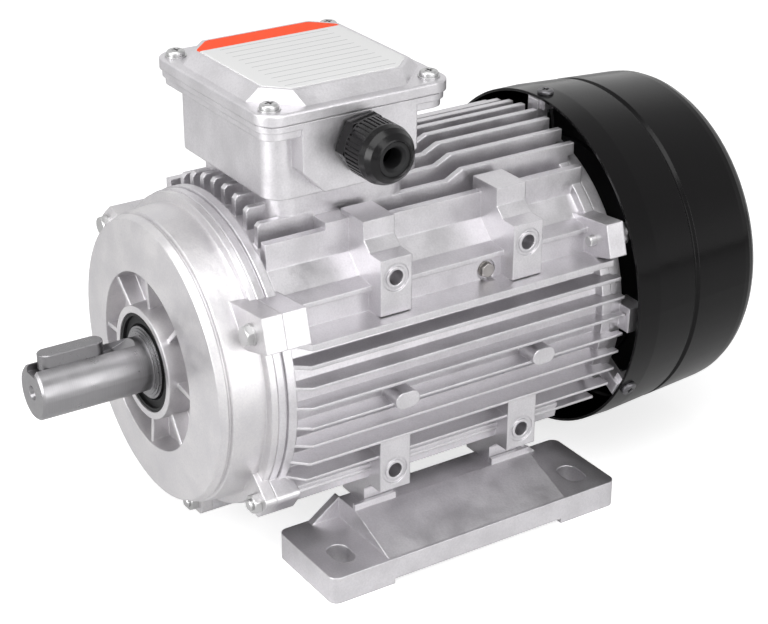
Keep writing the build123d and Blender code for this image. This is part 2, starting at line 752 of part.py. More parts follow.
def drive_end_shield():
    """The drive end shield with its ribbed bowl, lugs and bearing seat."""
    seat_end = FRONT_BEARING_Y + BEARING_WIDTH
    inner_r = SHIELD_BODY_R - SHIELD_WALL
    spigot_end = FRAME_FRONT_Y + SPIGOT_DEPTH - 0.3
    body = turned([
        (0, HUB_Y),
        (HUB_R, HUB_Y),
        (HUB_R + 0.8, BOWL_FLOOR_Y),
        (FACE_INNER_R - 1.2, BOWL_FLOOR_Y),
        (FACE_INNER_R, FACE_INNER_Y),
        (FACE_OUTER_R, FACE_OUTER_Y),
        (SHIELD_GROOVE_R, SHIELD_GROOVE_Y),
        (SHIELD_GROOVE_R - 0.9, SHIELD_GROOVE_Y + 0.6),
        (SHIELD_GROOVE_R - 0.9, SHIELD_GROOVE_Y + 1.3),
        (SHIELD_BODY_R, SHIELD_BODY_Y),
        (SHIELD_BODY_END_R, SHIELD_BODY_END_Y),
        (SHIELD_FLANGE_R - 0.3, SHIELD_BODY_END_Y + 0.5),
        (SHIELD_FLANGE_R, FRAME_FRONT_Y),
        (SPIGOT_R, FRAME_FRONT_Y),
        (SPIGOT_R, spigot_end),
        (0, spigot_end),
    ])
    lug_front = FRAME_FRONT_Y - SHIELD_LUG_LENGTH
    ribs = []
    for i in range(RIB_COUNT):
        outline = (
            (HUB_R - 2, BOWL_FLOOR_Y + 1),
            (HUB_R - 2, HUB_Y + 4),
            (FACE_INNER_R + 1, FACE_INNER_Y + 1.2),
            (FACE_INNER_R + 1, BOWL_FLOOR_Y + 1),
        )
        z0 = SHAFT_HEIGHT - RIB_THICKNESS / 2
        ribs.append(around(flat(outline, z0, z0 + RIB_THICKNESS), i * 360 / RIB_COUNT - 2))
    plain_front = FRAME_FRONT_Y - SHIELD_PLAIN_LUG_LENGTH
    body = body.fuse(*lugs(lug_front, FRAME_FRONT_Y, plain_front), *ribs)

    bore = turned([
        (0, HUB_Y - 5),
        (SEAL_R, HUB_Y - 5),
        (SEAL_R, SEAL_FRONT_Y + SEAL_WIDTH),
        (BEARING_OUTER_R - 5, SEAL_FRONT_Y + SEAL_WIDTH),
        (BEARING_OUTER_R - 5, FRONT_BEARING_Y),
        (BEARING_OUTER_R, FRONT_BEARING_Y),
        (BEARING_OUTER_R, seat_end + 30),
        (0, seat_end + 30),
    ])
    cavity = turned([
        (HOUSING_R, BOWL_FLOOR_Y + SHIELD_WALL),
        (FACE_INNER_R + SHIELD_WALL - 1, BOWL_FLOOR_Y + SHIELD_WALL),
        (FACE_INNER_R + SHIELD_WALL, FACE_INNER_Y + SHIELD_WALL),
        (inner_r - 2, FACE_OUTER_Y + SHIELD_WALL),
        (inner_r, FACE_OUTER_Y + SHIELD_WALL + 3),
        (inner_r, seat_end + 30),
        (0, seat_end + 30),
        (0, seat_end),
        (HOUSING_R, seat_end),
    ])
    cuts = [bore, cavity]
    for angle in lug_points():
        start = polar(LUG_BOLT_R, angle, lug_front - 1)
        cuts.append(rod(M5_CLEAR_D / 2, start, polar(LUG_BOLT_R, angle, FRAME_FRONT_Y + 1)))
    return body.cut(*cuts)


def rear_end_shield():
    """The rear end shield with its bearing seat and fan cover tabs."""
    flange_end = FRAME_REAR_Y + REAR_FLANGE_LENGTH
    spigot_start = FRAME_REAR_Y - SPIGOT_DEPTH + 0.3
    seat_end = REAR_BEARING_END_Y + WAVE_WASHER_SPACE
    housing_end = seat_end + 3
    body = turned([
        (SPIGOT_R - SHIELD_WALL, spigot_start),
        (SPIGOT_R, spigot_start),
        (SPIGOT_R, FRAME_REAR_Y),
        (REAR_FLANGE_R, FRAME_REAR_Y),
        (REAR_FLANGE_R, flange_end),
        (REAR_FLANGE_R - 9.8, flange_end + 1),
        (HOUSING_R + 6, flange_end + 5),
        (HOUSING_R, flange_end + 5),
        (HOUSING_R, housing_end),
        (REAR_SEAT_R + 1.5, housing_end),
        (REAR_SEAT_R + 1.5, seat_end + 1),
        (BEARING_OUTER_R - 5, seat_end + 1),
        (BEARING_OUTER_R - 5, seat_end),
        (BEARING_OUTER_R, seat_end),
        (BEARING_OUTER_R, REAR_BEARING_Y - 0.5),
        (HOUSING_R, REAR_BEARING_Y - 0.5),
        (HOUSING_R, flange_end),
        (SPIGOT_R - SHIELD_WALL - 1, FRAME_REAR_Y + 2),
    ])
    extras = []
    lug_end = FRAME_REAR_Y + REAR_SHIELD_LUG_LENGTH
    for angle in rear_lug_points():
        extras.append(plain_lug(angle, FRAME_REAR_Y, lug_end, REAR_LUG_R - 1, REAR_SHIELD_LUG_HALF))
    inner = COVER_R - COVER_T
    tab_start = flange_end - 1
    half = TAB_WIDTH / 2
    z0 = SHAFT_HEIGHT - half
    z1 = SHAFT_HEIGHT + half
    for angle in TAB_ANGLES:
        ear = block(inner - TAB_EAR_T, inner + 2, tab_start + 2, TAB_END_Y, z0, z1)
        web_half = TAB_WEB_WIDTH / 2
        web_z = (SHAFT_HEIGHT - web_half, SHAFT_HEIGHT + web_half)
        web = block(REAR_FLANGE_R - 6, inner + 2, tab_start, tab_start + TAB_WEB_LENGTH, *web_z)
        extras.append(around((ear + web) & tab_limit(inner), angle))
    for angle in PLAIN_TAB_ANGLES:
        tab = block(REAR_FLANGE_R - 6, PLAIN_TAB_R, tab_start, PLAIN_TAB_END_Y, z0, z1)
        extras.append(around(tab, angle))
    for i in range(6):
        rib_z = (SHAFT_HEIGHT - 1.5, SHAFT_HEIGHT + 1.5)
        rib = block(HOUSING_R - 2, REAR_FLANGE_R - 9.8, flange_end - 1, flange_end + 5, *rib_z)
        extras.append(around(rib, 30 + i * 60))
    body = body.fuse(*extras)
    cuts = []
    for angle in rear_lug_points():
        start = polar(LUG_BOLT_R, angle, FRAME_REAR_Y - 1)
        cuts.append(rod(M5_CLEAR_D / 2, start, polar(LUG_BOLT_R, angle, lug_end + 1)))
    for angle in TAB_ANGLES:
        start = polar(inner - COVER_SCREW_LENGTH, angle, COVER_SCREW_Y)
        cuts.append(rod(COVER_SCREW_D / 2, start, polar(inner + 3, angle, COVER_SCREW_Y)))
    return body.cut(*cuts)


def tab_limit(radius):
    """The cylinder that the cover tabs stay inside."""
    return turned([
        (0, FRAME_REAR_Y),
        (radius, FRAME_REAR_Y),
        (radius, TAB_END_Y + 5),
        (0, TAB_END_Y + 5),
    ])


def drive_end_bolts():
    """The two flanged bolts in the upper lugs of the drive end shield."""
    bolts = []
    length = SHIELD_LUG_LENGTH + LUG_FRAME_LENGTH
    y = FRAME_FRONT_Y - SHIELD_LUG_LENGTH
    for angle in lug_points()[:2]:
        bolt = hex_bolt(M5_D, length, M5_HEAD_AF, M5_HEAD_H, M5_FLANGE_D, M5_FLANGE_H)
        bolts.append(aim(bolt, polar(LUG_BOLT_R, angle, y), (0, -1, 0)))
    return bolts


def drive_end_studs():
    """The three studs in the lower lugs of the drive end shield."""
    studs = []
    front = FRAME_FRONT_Y - SHIELD_PLAIN_LUG_LENGTH - M5_NUT_H - STUD_PROUD
    length = FRAME_FRONT_Y + LUG_FRAME_LENGTH - front
    for angle in lug_points()[2:]:
        stud = Cylinder(M5_D / 2, length, align=(Align.CENTER, Align.CENTER, Align.MAX))
        ends = stud.edges().filter_by(GeomType.CIRCLE)
        stud = chamfer(ends, M5_D * 0.1)
        studs.append(aim(stud, polar(LUG_BOLT_R, angle, front), (0, -1, 0)))
    return studs


def drive_end_nuts():
    """The three nuts on those studs."""
    nuts = []
    y = FRAME_FRONT_Y - SHIELD_PLAIN_LUG_LENGTH
    for angle in lug_points()[2:]:
        nut = hexagon(M5_HEAD_AF, M5_NUT_H)
        crown = Cylinder(M5_HEAD_AF * 0.56, M5_NUT_H, align=(Align.CENTER, Align.CENTER, Align.MIN))
        nut = nut & chamfer(crown.edges().group_by(Axis.Z)[-1], M5_NUT_H * 0.2)
        nut -= Cylinder(M5_D / 2, M5_NUT_H * 3)
        nuts.append(aim(nut, polar(LUG_BOLT_R, angle, y), (0, -1, 0)))
    return nuts


def rear_end_bolts():
    """The three bolts of the rear end shield."""
    bolts = []
    length = REAR_SHIELD_LUG_LENGTH + LUG_REAR_LENGTH + REAR_BOLT_PROUD
    y = FRAME_REAR_Y + REAR_SHIELD_LUG_LENGTH
    for angle in rear_lug_points():
        bolt = hex_bolt(M5_D, length, M5_HEAD_AF, M5_HEAD_H)
        bolts.append(aim(bolt, polar(LUG_BOLT_R, angle, y), (0, 1, 0)))
    return bolts


def foot():
    """The foot on the gland side."""
    base_top = SHAFT_HEIGHT - BOSS_TOP_Z
    plate = block(FOOT_INNER_X, FOOT_OUTER_X, -FOOT_HALF_Y, FOOT_HALF_Y, 0, FOOT_T)
    plate = fillet(plate.edges().filter_by(Axis.Z), FOOT_CORNER_R)
    wedge = upright([
        (FOOT_BODY_X, FOOT_T - 1),
        (FOOT_BODY_X, base_top),
        (FOOT_SLOPE_TOP_X, base_top),
        (FOOT_SLOPE_END_X, FOOT_T),
        (FOOT_SLOPE_END_X, FOOT_T - 1),
    ], -FOOT_BODY_HALF_Y, FOOT_BODY_HALF_Y)
    shapes = [wedge]
    lip_top = base_top + FOOT_LIP_H
    lip_inner_y = BOSS_CENTRE_Y - BOSS_WIDTH / 2
    for side in (1, -1):
        ends = sorted((side * lip_inner_y, side * FOOT_BODY_HALF_Y))
        shapes.append(block(FOOT_LIP_X, FOOT_SLOPE_TOP_X, ends[0], ends[1], base_top - 1, lip_top))
        start = side * FOOT_BODY_HALF_Y
        shapes.append(sideways([
            (start - side * 0.5, FOOT_T - 1),
            (start - side * 0.5, base_top),
            (start, base_top),
            (start + side * FOOT_GUSSET_RUN, FOOT_T),
            (start + side * FOOT_GUSSET_RUN, FOOT_T - 1),
        ], FOOT_INNER_X + 0.6, FOOT_BODY_X + 0.4))
    body = plate.fuse(*shapes)
    recess_y = (-FOOT_RECESS_HALF, FOOT_RECESS_HALF)
    cuts = [block(FOOT_INNER_X - 1, FOOT_OUTER_X + 1, *recess_y, -1, FOOT_RECESS)]
    for side in (1, -1):
        slot = SlotOverall(FOOT_SLOT_LENGTH, FOOT_SLOT_WIDTH)
        centre = Pos(FOOT_SPACING_X / 2, side * FOOT_SPACING_Y / 2, -1)
        cuts.append(extrude(centre * slot, amount=FOOT_T + 2))
        x = FOOT_BOLT_X
        y = side * BOSS_CENTRE_Y
        cuts.append(rod(FOOT_BOLT_CLEAR_D / 2, (x, y, -1), (x, y, base_top + 1)))
        cuts.append(rod(FOOT_COUNTERBORE_D / 2, (x, y, -1), (x, y, FOOT_COUNTERBORE_Z)))
    return body.cut(*cuts)


def foot_bolts():
    """The four bolts that hold the feet, heads up inside the counterbores."""
    base_top = SHAFT_HEIGHT - BOSS_TOP_Z
    head_z = FOOT_COUNTERBORE_Z - FOOT_WASHER_T
    length = base_top - head_z + FOOT_BOLT_GRIP - 0.5
    bolts = []
    for sx in (1, -1):
        for sy in (1, -1):
            bolt = hex_bolt(FOOT_BOLT_D, length, FOOT_BOLT_AF, FOOT_BOLT_HEAD)
            centre = (sx * FOOT_BOLT_X, sy * BOSS_CENTRE_Y, head_z)
            bolts.append(aim(bolt, centre, (0, 0, -1)))
    return bolts


def foot_washers():
    """The washers under the foot bolt heads."""
    parts = []
    for sx in (1, -1):
        for sy in (1, -1):
            ring = washer(FOOT_WASHER_D, FOOT_BOLT_D, FOOT_WASHER_T)
            parts.append(put(ring, sx * FOOT_BOLT_X, sy * BOSS_CENTRE_Y, FOOT_COUNTERBORE_Z))
    return parts


def shaft():
    """The stepped shaft with its keyway and the centre hole in the drive end."""
    body = turned([
        (0, SHAFT_TIP_Y),
        (SHAFT_R - 1.0, SHAFT_TIP_Y),
        (SHAFT_R, SHAFT_TIP_Y + 1.0),
        (SHAFT_R, SHAFT_SHOULDER_Y),
        (BEARING_BORE_R, SHAFT_SHOULDER_Y),
        (BEARING_BORE_R, FRONT_BEARING_Y + BEARING_WIDTH),
        (ROTOR_BORE_R - 0.8, FRONT_BEARING_Y + BEARING_WIDTH),
        (ROTOR_BORE_R - 0.8, CORE_FRONT_Y - ROTOR_SEAT_EXTRA - 1),
        (ROTOR_BORE_R, CORE_FRONT_Y - ROTOR_SEAT_EXTRA),
        (ROTOR_BORE_R, CORE_REAR_Y + ROTOR_SEAT_EXTRA),
        (ROTOR_BORE_R - 0.8, CORE_REAR_Y + ROTOR_SEAT_EXTRA + 1),
        (ROTOR_BORE_R - 0.8, REAR_BEARING_Y),
        (BEARING_BORE_R, REAR_BEARING_Y),
        (BEARING_BORE_R, REAR_BEARING_END_Y + 0.5),
        (REAR_SEAT_R, REAR_BEARING_END_Y + 0.5),
        (REAR_SEAT_R, SHAFT_REAR_Y - 0.8),
        (REAR_SEAT_R - 0.8, SHAFT_REAR_Y),
        (0, SHAFT_REAR_Y),
    ])
    half = KEY_WIDTH / 2
    floor = SHAFT_HEIGHT + KEYWAY_FLOOR
    way = block(-half, half, SHAFT_TIP_Y - 1, KEYWAY_END_Y - 8, floor, SHAFT_HEIGHT + 20)
    runout_r = 20.0
    cutter = Cylinder(runout_r, KEY_WIDTH)
    way += aim(cutter, (0, KEYWAY_END_Y - 12, floor + runout_r), (1, 0, 0))
    centre = Cone(3.2, 0.4, 6, align=(Align.CENTER, Align.CENTER, Align.MIN))
    drilled = aim(centre, (0, SHAFT_TIP_Y, SHAFT_HEIGHT), (0, 1, 0))
    clip_y = FAN_FRONT_Y + FAN_HUB_LENGTH
    groove = turned([
        (REAR_SEAT_R - 0.9, clip_y),
        (REAR_SEAT_R + 2, clip_y),
        (REAR_SEAT_R + 2, clip_y + CIRCLIP_T),
        (REAR_SEAT_R - 0.9, clip_y + CIRCLIP_T),
    ])
    return body.cut(way, drilled, groove)


def shaft_key():
    """The round-ended key, standing a little proud as it does in the photograph."""
    bottom = SHAFT_HEIGHT + KEYWAY_FLOOR + KEY_STAND_OFF
    face = SlotOverall(KEY_LENGTH, KEY_WIDTH, rotation=90)
    y = SHAFT_TIP_Y + KEY_FROM_TIP + KEY_LENGTH / 2
    key = extrude(Pos(0, y, bottom) * face, amount=KEY_HEIGHT)
    return chamfer(key.edges().group_by(Axis.Z)[-1], 0.4)


def race_profile(start, inner, outer):
    """The (radius, y) profile of a race ring of one bearing."""
    end = start + BEARING_WIDTH
    c = 0.4
    return [
        (inner, start + c),
        (inner + c, start),
        (outer - c, start),
        (outer, start + c),
        (outer, end - c),
        (outer - c, end),
        (inner + c, end),
        (inner, end - c),
    ]


def groove_ring(middle):
    """The torus that forms the ball tracks."""
    ring = Torus(PITCH_R, GROOVE_R)
    return aim(ring, (0, middle, SHAFT_HEIGHT), (0, 1, 0))


def outer_race(start):
    """An outer race with its ball track and the two shield seats."""
    inner = BEARING_OUTER_R - RACE_STEP
    body = turned(race_profile(start, inner, BEARING_OUTER_R))
    return body - groove_ring(start + BEARING_WIDTH / 2)


def inner_race(start):
    """An inner race with its ball track."""
    body = turned(race_profile(start, BEARING_BORE_R, BEARING_BORE_R + RACE_STEP))
    return body - groove_ring(start + BEARING_WIDTH / 2)


def ball_set(start):
    """The balls of one bearing."""
    middle = start + BEARING_WIDTH / 2
    balls = []
    for i in range(BALL_COUNT):
        ball = Sphere(BALL_R)
        x, y, z = polar(PITCH_R, 90 + i * 360 / BALL_COUNT, middle)
        balls.append(put(ball, x, y, z))
    return balls


def ball_cage(start):
    """The ring that spaces the balls."""
    middle = start + BEARING_WIDTH / 2
    half = CAGE_THICKNESS / 2
    ring = turned([
        (PITCH_R - half, middle - CAGE_HALF),
        (PITCH_R + half, middle - CAGE_HALF),
        (PITCH_R + half, middle + CAGE_HALF),
        (PITCH_R - half, middle + CAGE_HALF),
    ])
    pockets = []
    for i in range(BALL_COUNT):
        angle = 90 + i * 360 / BALL_COUNT
        ends = [polar(PITCH_R + side * 2 * half, angle, middle) for side in (-1, 1)]
        pockets.append(rod(BALL_R + POCKET_PLAY, ends[0], ends[1]))
    return ring.cut(*pockets)


def bearing_shields(start):
    """The two thin closing discs held in the outer race."""
    inner = BEARING_BORE_R + RACE_STEP + BEARING_SHIELD_GAP
    outer = BEARING_OUTER_R - RACE_STEP
    discs = []
    for y in (start + 0.8, start + BEARING_WIDTH - 0.8 - BEARING_SHIELD_T):
        discs.append(turned([
            (inner, y),
            (outer, y),
            (outer, y + BEARING_SHIELD_T),
            (inner, y + BEARING_SHIELD_T),
        ]))
    return discs


def wave_washer():
    """The preload washer behind the rear bearing."""
    start = REAR_BEARING_END_Y
    waves = 6
    mean = (WAVE_WASHER_SPACE - WAVE_WASHER_T) / 2
    inner = BEARING_OUTER_R - 4.5
    outer = BEARING_OUTER_R - 0.4
    lower = []
    for radius in (inner, outer):
        points = []
        for i in range(waves * 8):
            turn = 2 * pi * i / (waves * 8)
            wave = start + mean + mean * cos(waves * turn)
            points.append((radius * cos(turn), wave, SHAFT_HEIGHT + radius * sin(turn)))
        lower.append(Spline(*points, periodic=True))
    sheet = Face.make_surface_from_curves(lower[0].edge(), lower[1].edge())
    return extrude(sheet, amount=WAVE_WASHER_T, dir=(0, 1, 0))


def shaft_seal():
    """The lip seal: a pressed case with a rubber lip."""
    end = SEAL_FRONT_Y + SEAL_WIDTH
    lip = COLLAR_R + SEAL_GAP
    return turned([
        (SEAL_R - SEAL_CASE_T, SEAL_FRONT_Y),
        (SEAL_R, SEAL_FRONT_Y),
        (SEAL_R, end),
        (lip + 0.6, end),
        (lip, end - 2),
        (lip, SEAL_FRONT_Y + 2.4),
        (lip + 0.9, SEAL_FRONT_Y + 1.0),
        (lip + 2.6, SEAL_FRONT_Y + 1.6),
        (SEAL_R - SEAL_CASE_T, SEAL_FRONT_Y + 1.6),
    ])


def shaft_collar():
    """The stepped ring on the shaft that the seal runs on."""
    return turned([
        (BEARING_BORE_R, SHAFT_SHOULDER_Y),
        (COLLAR_R - 2, SHAFT_SHOULDER_Y),
        (COLLAR_R - 2, SHAFT_SHOULDER_Y + 0.5),
        (COLLAR_R - 1, SHAFT_SHOULDER_Y + 0.6),
        (COLLAR_R - 1, SHAFT_SHOULDER_Y + 1.3),
        (COLLAR_R, SHAFT_SHOULDER_Y + 1.4),
        (COLLAR_R, FRONT_BEARING_Y),
        (BEARING_BORE_R, FRONT_BEARING_Y),
    ])


def radial_slots(count, inner, outer, width, y0, y1):
    """Straight radial bars around the shaft axis."""
    bars = []
    z0 = SHAFT_HEIGHT - width / 2
    for i in range(count):
        bar = block(inner, outer, y0, y1, z0, z0 + width)
        bars.append(around(bar, i * 360 / count))
    return bars


def stator_core():
    """The slotted lamination stack."""
    stack = turned([
        (STATOR_BORE_R, CORE_FRONT_Y),
        (BORE_R, CORE_FRONT_Y),
        (BORE_R, CORE_REAR_Y),
        (STATOR_BORE_R, CORE_REAR_Y),
    ])
    y0 = CORE_FRONT_Y
    y1 = CORE_REAR_Y
    slots = radial_slots(SLOT_COUNT, SLOT_INNER_R, SLOT_OUTER_R, SLOT_WIDTH, y0, y1)
    mouths = radial_slots(SLOT_COUNT, STATOR_BORE_R - 1, SLOT_INNER_R + 1, SLOT_OPENING, y0, y1)
    return stack.cut(*slots, *mouths)


def stator_windings():
    """The coils: slot sides and the two rounded end windings."""
    ends_y = (CORE_FRONT_Y - 1, CORE_REAR_Y + 1)
    parts = radial_slots(SLOT_COUNT, SLOT_INNER_R, SLOT_OUTER_R, SLOT_WIDTH, *ends_y)
    ends = []
    for start, side in ((CORE_FRONT_Y, -1), (CORE_REAR_Y, 1)):
        far = start + side * COIL_LENGTH
        ends.append(turned([
            (COIL_INNER_R + 1, start),
            (COIL_OUTER_R - 3, start),
            (COIL_OUTER_R, start + side * 5),
            (COIL_OUTER_R, far - side * 4),
            (COIL_OUTER_R - 3, far),
            (COIL_INNER_R + 3, far),
            (COIL_INNER_R, far - side * 4),
            (COIL_INNER_R, start + side * 4),
        ]))
    return ends[0].fuse(ends[1], *parts)


def rotor_bars():
    """The round bars of the rotor cage."""
    bars = []
    for i in range(BAR_COUNT):
        angle = i * 360 / BAR_COUNT
        start = polar(BAR_CIRCLE_R, angle, CORE_FRONT_Y)
        bars.append(rod(BAR_R, start, polar(BAR_CIRCLE_R, angle, CORE_REAR_Y)))
    return bars


def rotor_core():
    """The rotor lamination stack on the shaft."""
    outer = STATOR_BORE_R - AIR_GAP
    stack = turned([
        (ROTOR_BORE_R, CORE_FRONT_Y),
        (outer, CORE_FRONT_Y),
        (outer, CORE_REAR_Y),
        (ROTOR_BORE_R, CORE_REAR_Y),
    ])
    return stack.cut(*rotor_bars())


def rotor_cage():
    """The cast cage: bars, end rings and stirring fins."""
    outer = STATOR_BORE_R - AIR_GAP - 0.6
    parts = rotor_bars()
    rings = []
    for start, side in ((CORE_FRONT_Y, -1), (CORE_REAR_Y, 1)):
        far = start + side * END_RING_LENGTH
        rings.append(turned([
            (END_RING_INNER_R, start),
            (outer, start),
            (outer, far),
            (END_RING_INNER_R, far),
        ]))
        tip = far + side * CAGE_FIN_LENGTH
        y0 = min(far, tip) - 0.5
        y1 = max(far, tip) + 0.5
        if side < 0:
            y0 += 0.5
        else:
            y1 -= 0.5
        parts += radial_slots(8, END_RING_INNER_R + 1, outer - 1, 2.4, y0, y1)
    return rings[0].fuse(rings[1], *parts)


def fan():
    """The straight-bladed fan that runs the same in both directions."""
    hub_end = FAN_FRONT_Y + FAN_HUB_LENGTH
    hub = turned([
        (REAR_SEAT_R, FAN_FRONT_Y),
        (FAN_HUB_R, FAN_FRONT_Y),
        (FAN_HUB_R, FAN_FRONT_Y + 4),
        (FAN_R - 12, FAN_FRONT_Y + 4),
        (FAN_R - 12, FAN_FRONT_Y + 4 + FAN_DISC_T),
        (FAN_HUB_R, FAN_FRONT_Y + 4 + FAN_DISC_T),
        (FAN_HUB_R - 1, hub_end),
        (REAR_SEAT_R, hub_end),
    ])
    y0 = FAN_FRONT_Y + 4
    blades = radial_slots(FAN_BLADES, FAN_HUB_R - 2, FAN_R, FAN_BLADE_T, y0, y0 + FAN_BLADE_WIDTH)
    trim = turned([
        (FAN_R - 3, y0 + FAN_BLADE_WIDTH + 1),
        (FAN_R + 2, y0 + FAN_BLADE_WIDTH - 6),
        (FAN_R + 2, y0 + FAN_BLADE_WIDTH + 1),
    ])
    return hub.fuse(*blades) - trim


def fan_circlip():
    """The clip that holds the fan on the shaft."""
    y = FAN_FRONT_Y + FAN_HUB_LENGTH
    ring = turned([
        (REAR_SEAT_R - 0.9, y),
        (REAR_SEAT_R + 2.2, y),
        (REAR_SEAT_R + 2.2, y + CIRCLIP_T),
        (REAR_SEAT_R - 0.9, y + CIRCLIP_T),
    ])
    gap = block(-2.5, 2.5, y - 1, y + 3, SHAFT_HEIGHT, SHAFT_HEIGHT + 20)
    return ring - gap


def cover_profile(inset):
    """The (radius, y) curve of the fan cover, inset by a distance."""
    r = COVER_R - inset
    end = COVER_END_Y - inset
    rear = COVER_REAR_R - inset
    taper = (COVER_R - COVER_REAR_R) / (COVER_REAR_Y - COVER_STRAIGHT_Y)
    at_bead = r - taper * (COVER_BEAD_Y - COVER_STRAIGHT_Y)
    points = [
        (r, COVER_FRONT_Y),
        (r, COVER_STRAIGHT_Y),
        (at_bead, COVER_BEAD_Y - 1.6),
        (at_bead - COVER_BEAD_DEPTH, COVER_BEAD_Y - 0.4),
        (at_bead - COVER_BEAD_DEPTH, COVER_BEAD_Y + 0.4),
        (at_bead - 0.1, COVER_BEAD_Y + 1.6),
        (rear, COVER_REAR_Y),
    ]
    radius = COVER_END_Y - COVER_REAR_Y
    for i in range(1, 7):
        turn = radians(i * 15)
        points.append((rear - radius * (1 - cos(turn)), COVER_REAR_Y + (end - COVER_REAR_Y) * sin(turn)))
    return points


def fan_cover():
    """The pressed steel cover with its rear grille."""
    outer = cover_profile(0.0)
    inner = cover_profile(COVER_T)
    profile = outer + [(0, COVER_END_Y), (0, COVER_END_Y - COVER_T)] + inner[::-1]
    shell = turned(profile)
    cuts = []
    y0 = COVER_END_Y - 6
    y1 = COVER_END_Y + 2
    for inner_r, outer_r, count in ((12, 26, 12), (30, 45, 24), (49, 63, 32)):
        cuts += radial_slots(count, inner_r, outer_r, 3.6, y0, y1)
    for angle in TAB_ANGLES:
        start = polar(COVER_R - 5, angle, COVER_SCREW_Y)
        cuts.append(rod(COVER_SCREW_D / 2 + 0.3, start, polar(COVER_R + 3, angle, COVER_SCREW_Y)))
    return shell.cut(*cuts)


def cover_screws():
    """The three screws of the fan cover with their washer heads."""
    screws = []
    for angle in TAB_ANGLES:
        screw = pan_screw(COVER_SCREW_D, COVER_SCREW_LENGTH, COVER_SCREW_HEAD_D, COVER_SCREW_HEAD_H)
        direction = (cos(radians(angle)), 0, sin(radians(angle)))
        screws.append(aim(screw, polar(COVER_R, angle, COVER_SCREW_Y), direction))
    return screws


def lid_screw_points():
    """Centres of the four lid screws."""
    return [
        (sx * LID_SCREW_X, BOX_Y + sy * LID_SCREW_Y)
        for sx in (1, -1)
        for sy in (1, -1)
    ]


def box_cavity(z0, z1):
    """The hollow of the box between its side walls."""
    half_x = BASE_HALF_X - BASE_WALL
    half_y = BASE_HALF_Y - BASE_WALL
    return rounded(half_x, half_y, BASE_CORNER_R - BASE_WALL, z0, z1, BASE_LEFT_X - BASE_WALL)


def box_base():
    """The terminal box body on the neck."""
    floor_z = NECK_TOP_Z + BOX_GASKET_T
    rim_bottom = RIM_Z - RIM_T
    body = rounded(BASE_HALF_X, BASE_HALF_Y, BASE_CORNER_R, floor_z, RIM_Z, BASE_LEFT_X)
    rim = rounded(RIM_HALF_X, RIM_HALF_Y, RIM_CORNER_R, rim_bottom, RIM_Z)
    step_x = RIM_HALF_X - STEP_INSET
    step_y = RIM_HALF_Y - STEP_INSET
    step = rounded(step_x, step_y, RIM_CORNER_R - STEP_INSET, rim_bottom - STEP_T, rim_bottom)
    y0 = BOX_Y - ENTRY_HALF_Y
    y1 = BOX_Y + ENTRY_HALF_Y
    low = ENTRY_BOTTOM_Z
    entry = sideways([
        (y0, RIM_Z),
        (y0, low + ENTRY_CHAMFER),
        (y0 + ENTRY_CHAMFER, low),
        (y1 - ENTRY_CHAMFER, low),
        (y1, low + ENTRY_CHAMFER),
        (y1, RIM_Z),
    ], BASE_HALF_X - 4, RIM_HALF_X)
    body = body.fuse(rim, step, entry)

    inner_x = BASE_HALF_X - BASE_WALL
    cavity = box_cavity(floor_z + BASE_FLOOR, RIM_Z + 5)
    pocket_y0 = BOX_Y - POCKET_HALF_Y
    pocket_y1 = BOX_Y + POCKET_HALF_Y
    wall_x = RIM_HALF_X - ENTRY_WALL
    pocket = block(inner_x - 5, wall_x, pocket_y0, pocket_y1, POCKET_BOTTOM_Z, RIM_Z + 5)
    x0, x1, y2, y3 = PASSAGE
    opening = block(x0, x1, y2, y3, floor_z - 1, floor_z + BASE_FLOOR + 1)
    cuts = [cavity, pocket, opening]
    start = (wall_x - 2, BOX_Y, GLAND_Z)
    cuts.append(rod(GLAND_THREAD_D / 2, start, (RIM_HALF_X + 2, BOX_Y, GLAND_Z)))
    for x, y in lid_screw_points():
        cuts.append(rod(LID_SCREW_D / 2, (x, y, rim_bottom - STEP_T - 1), (x, y, RIM_Z + 1)))
    for x, y in box_screw_points():
        cuts.append(rod(M5_CLEAR_D / 2, (x, y, floor_z - 1), (x, y, floor_z + BASE_FLOOR + 1)))
    earth_z = floor_z + BASE_FLOOR
    cuts.append(rod(2.0, (EARTH_X, BOX_Y, earth_z - 3), (EARTH_X, BOX_Y, earth_z + 1)))
    return body.cut(*cuts)


def box_gasket():
    """The flat gasket between neck and box."""
    x = NECK_HALF_X
    y = NECK_HALF_Y
    sheet = rounded(x, y, BASE_CORNER_R, NECK_TOP_Z, NECK_TOP_Z + BOX_GASKET_T)
    x0, x1, y0, y1 = PASSAGE
    cuts = [block(x0, x1, y0, y1, NECK_TOP_Z - 1, NECK_TOP_Z + 2)]
    for px, py in box_screw_points():
        cuts.append(rod(M5_CLEAR_D / 2, (px, py, NECK_TOP_Z - 1), (px, py, NECK_TOP_Z + 2)))
    return sheet.cut(*cuts)


def lid_gasket():
    """The gasket between box and lid."""
    top = RIM_Z + LID_GASKET_T
    x = RIM_HALF_X - 0.6
    y = RIM_HALF_Y - 0.6
    sheet = rounded(x, y, RIM_CORNER_R - 0.6, RIM_Z, top)
    inner_x = BASE_HALF_X - BASE_WALL
    cuts = [box_cavity(RIM_Z - 1, top + 1)]
    wall_x = RIM_HALF_X - ENTRY_WALL
    y0 = BOX_Y - POCKET_HALF_Y
    y1 = BOX_Y + POCKET_HALF_Y
    cuts.append(block(inner_x - 5, wall_x, y0, y1, RIM_Z - 1, top + 1))
    for px, py in lid_screw_points():
        cuts.append(rod(LID_SCREW_D / 2 + 0.2, (px, py, RIM_Z - 1), (px, py, top + 1)))
    return sheet.cut(*cuts)


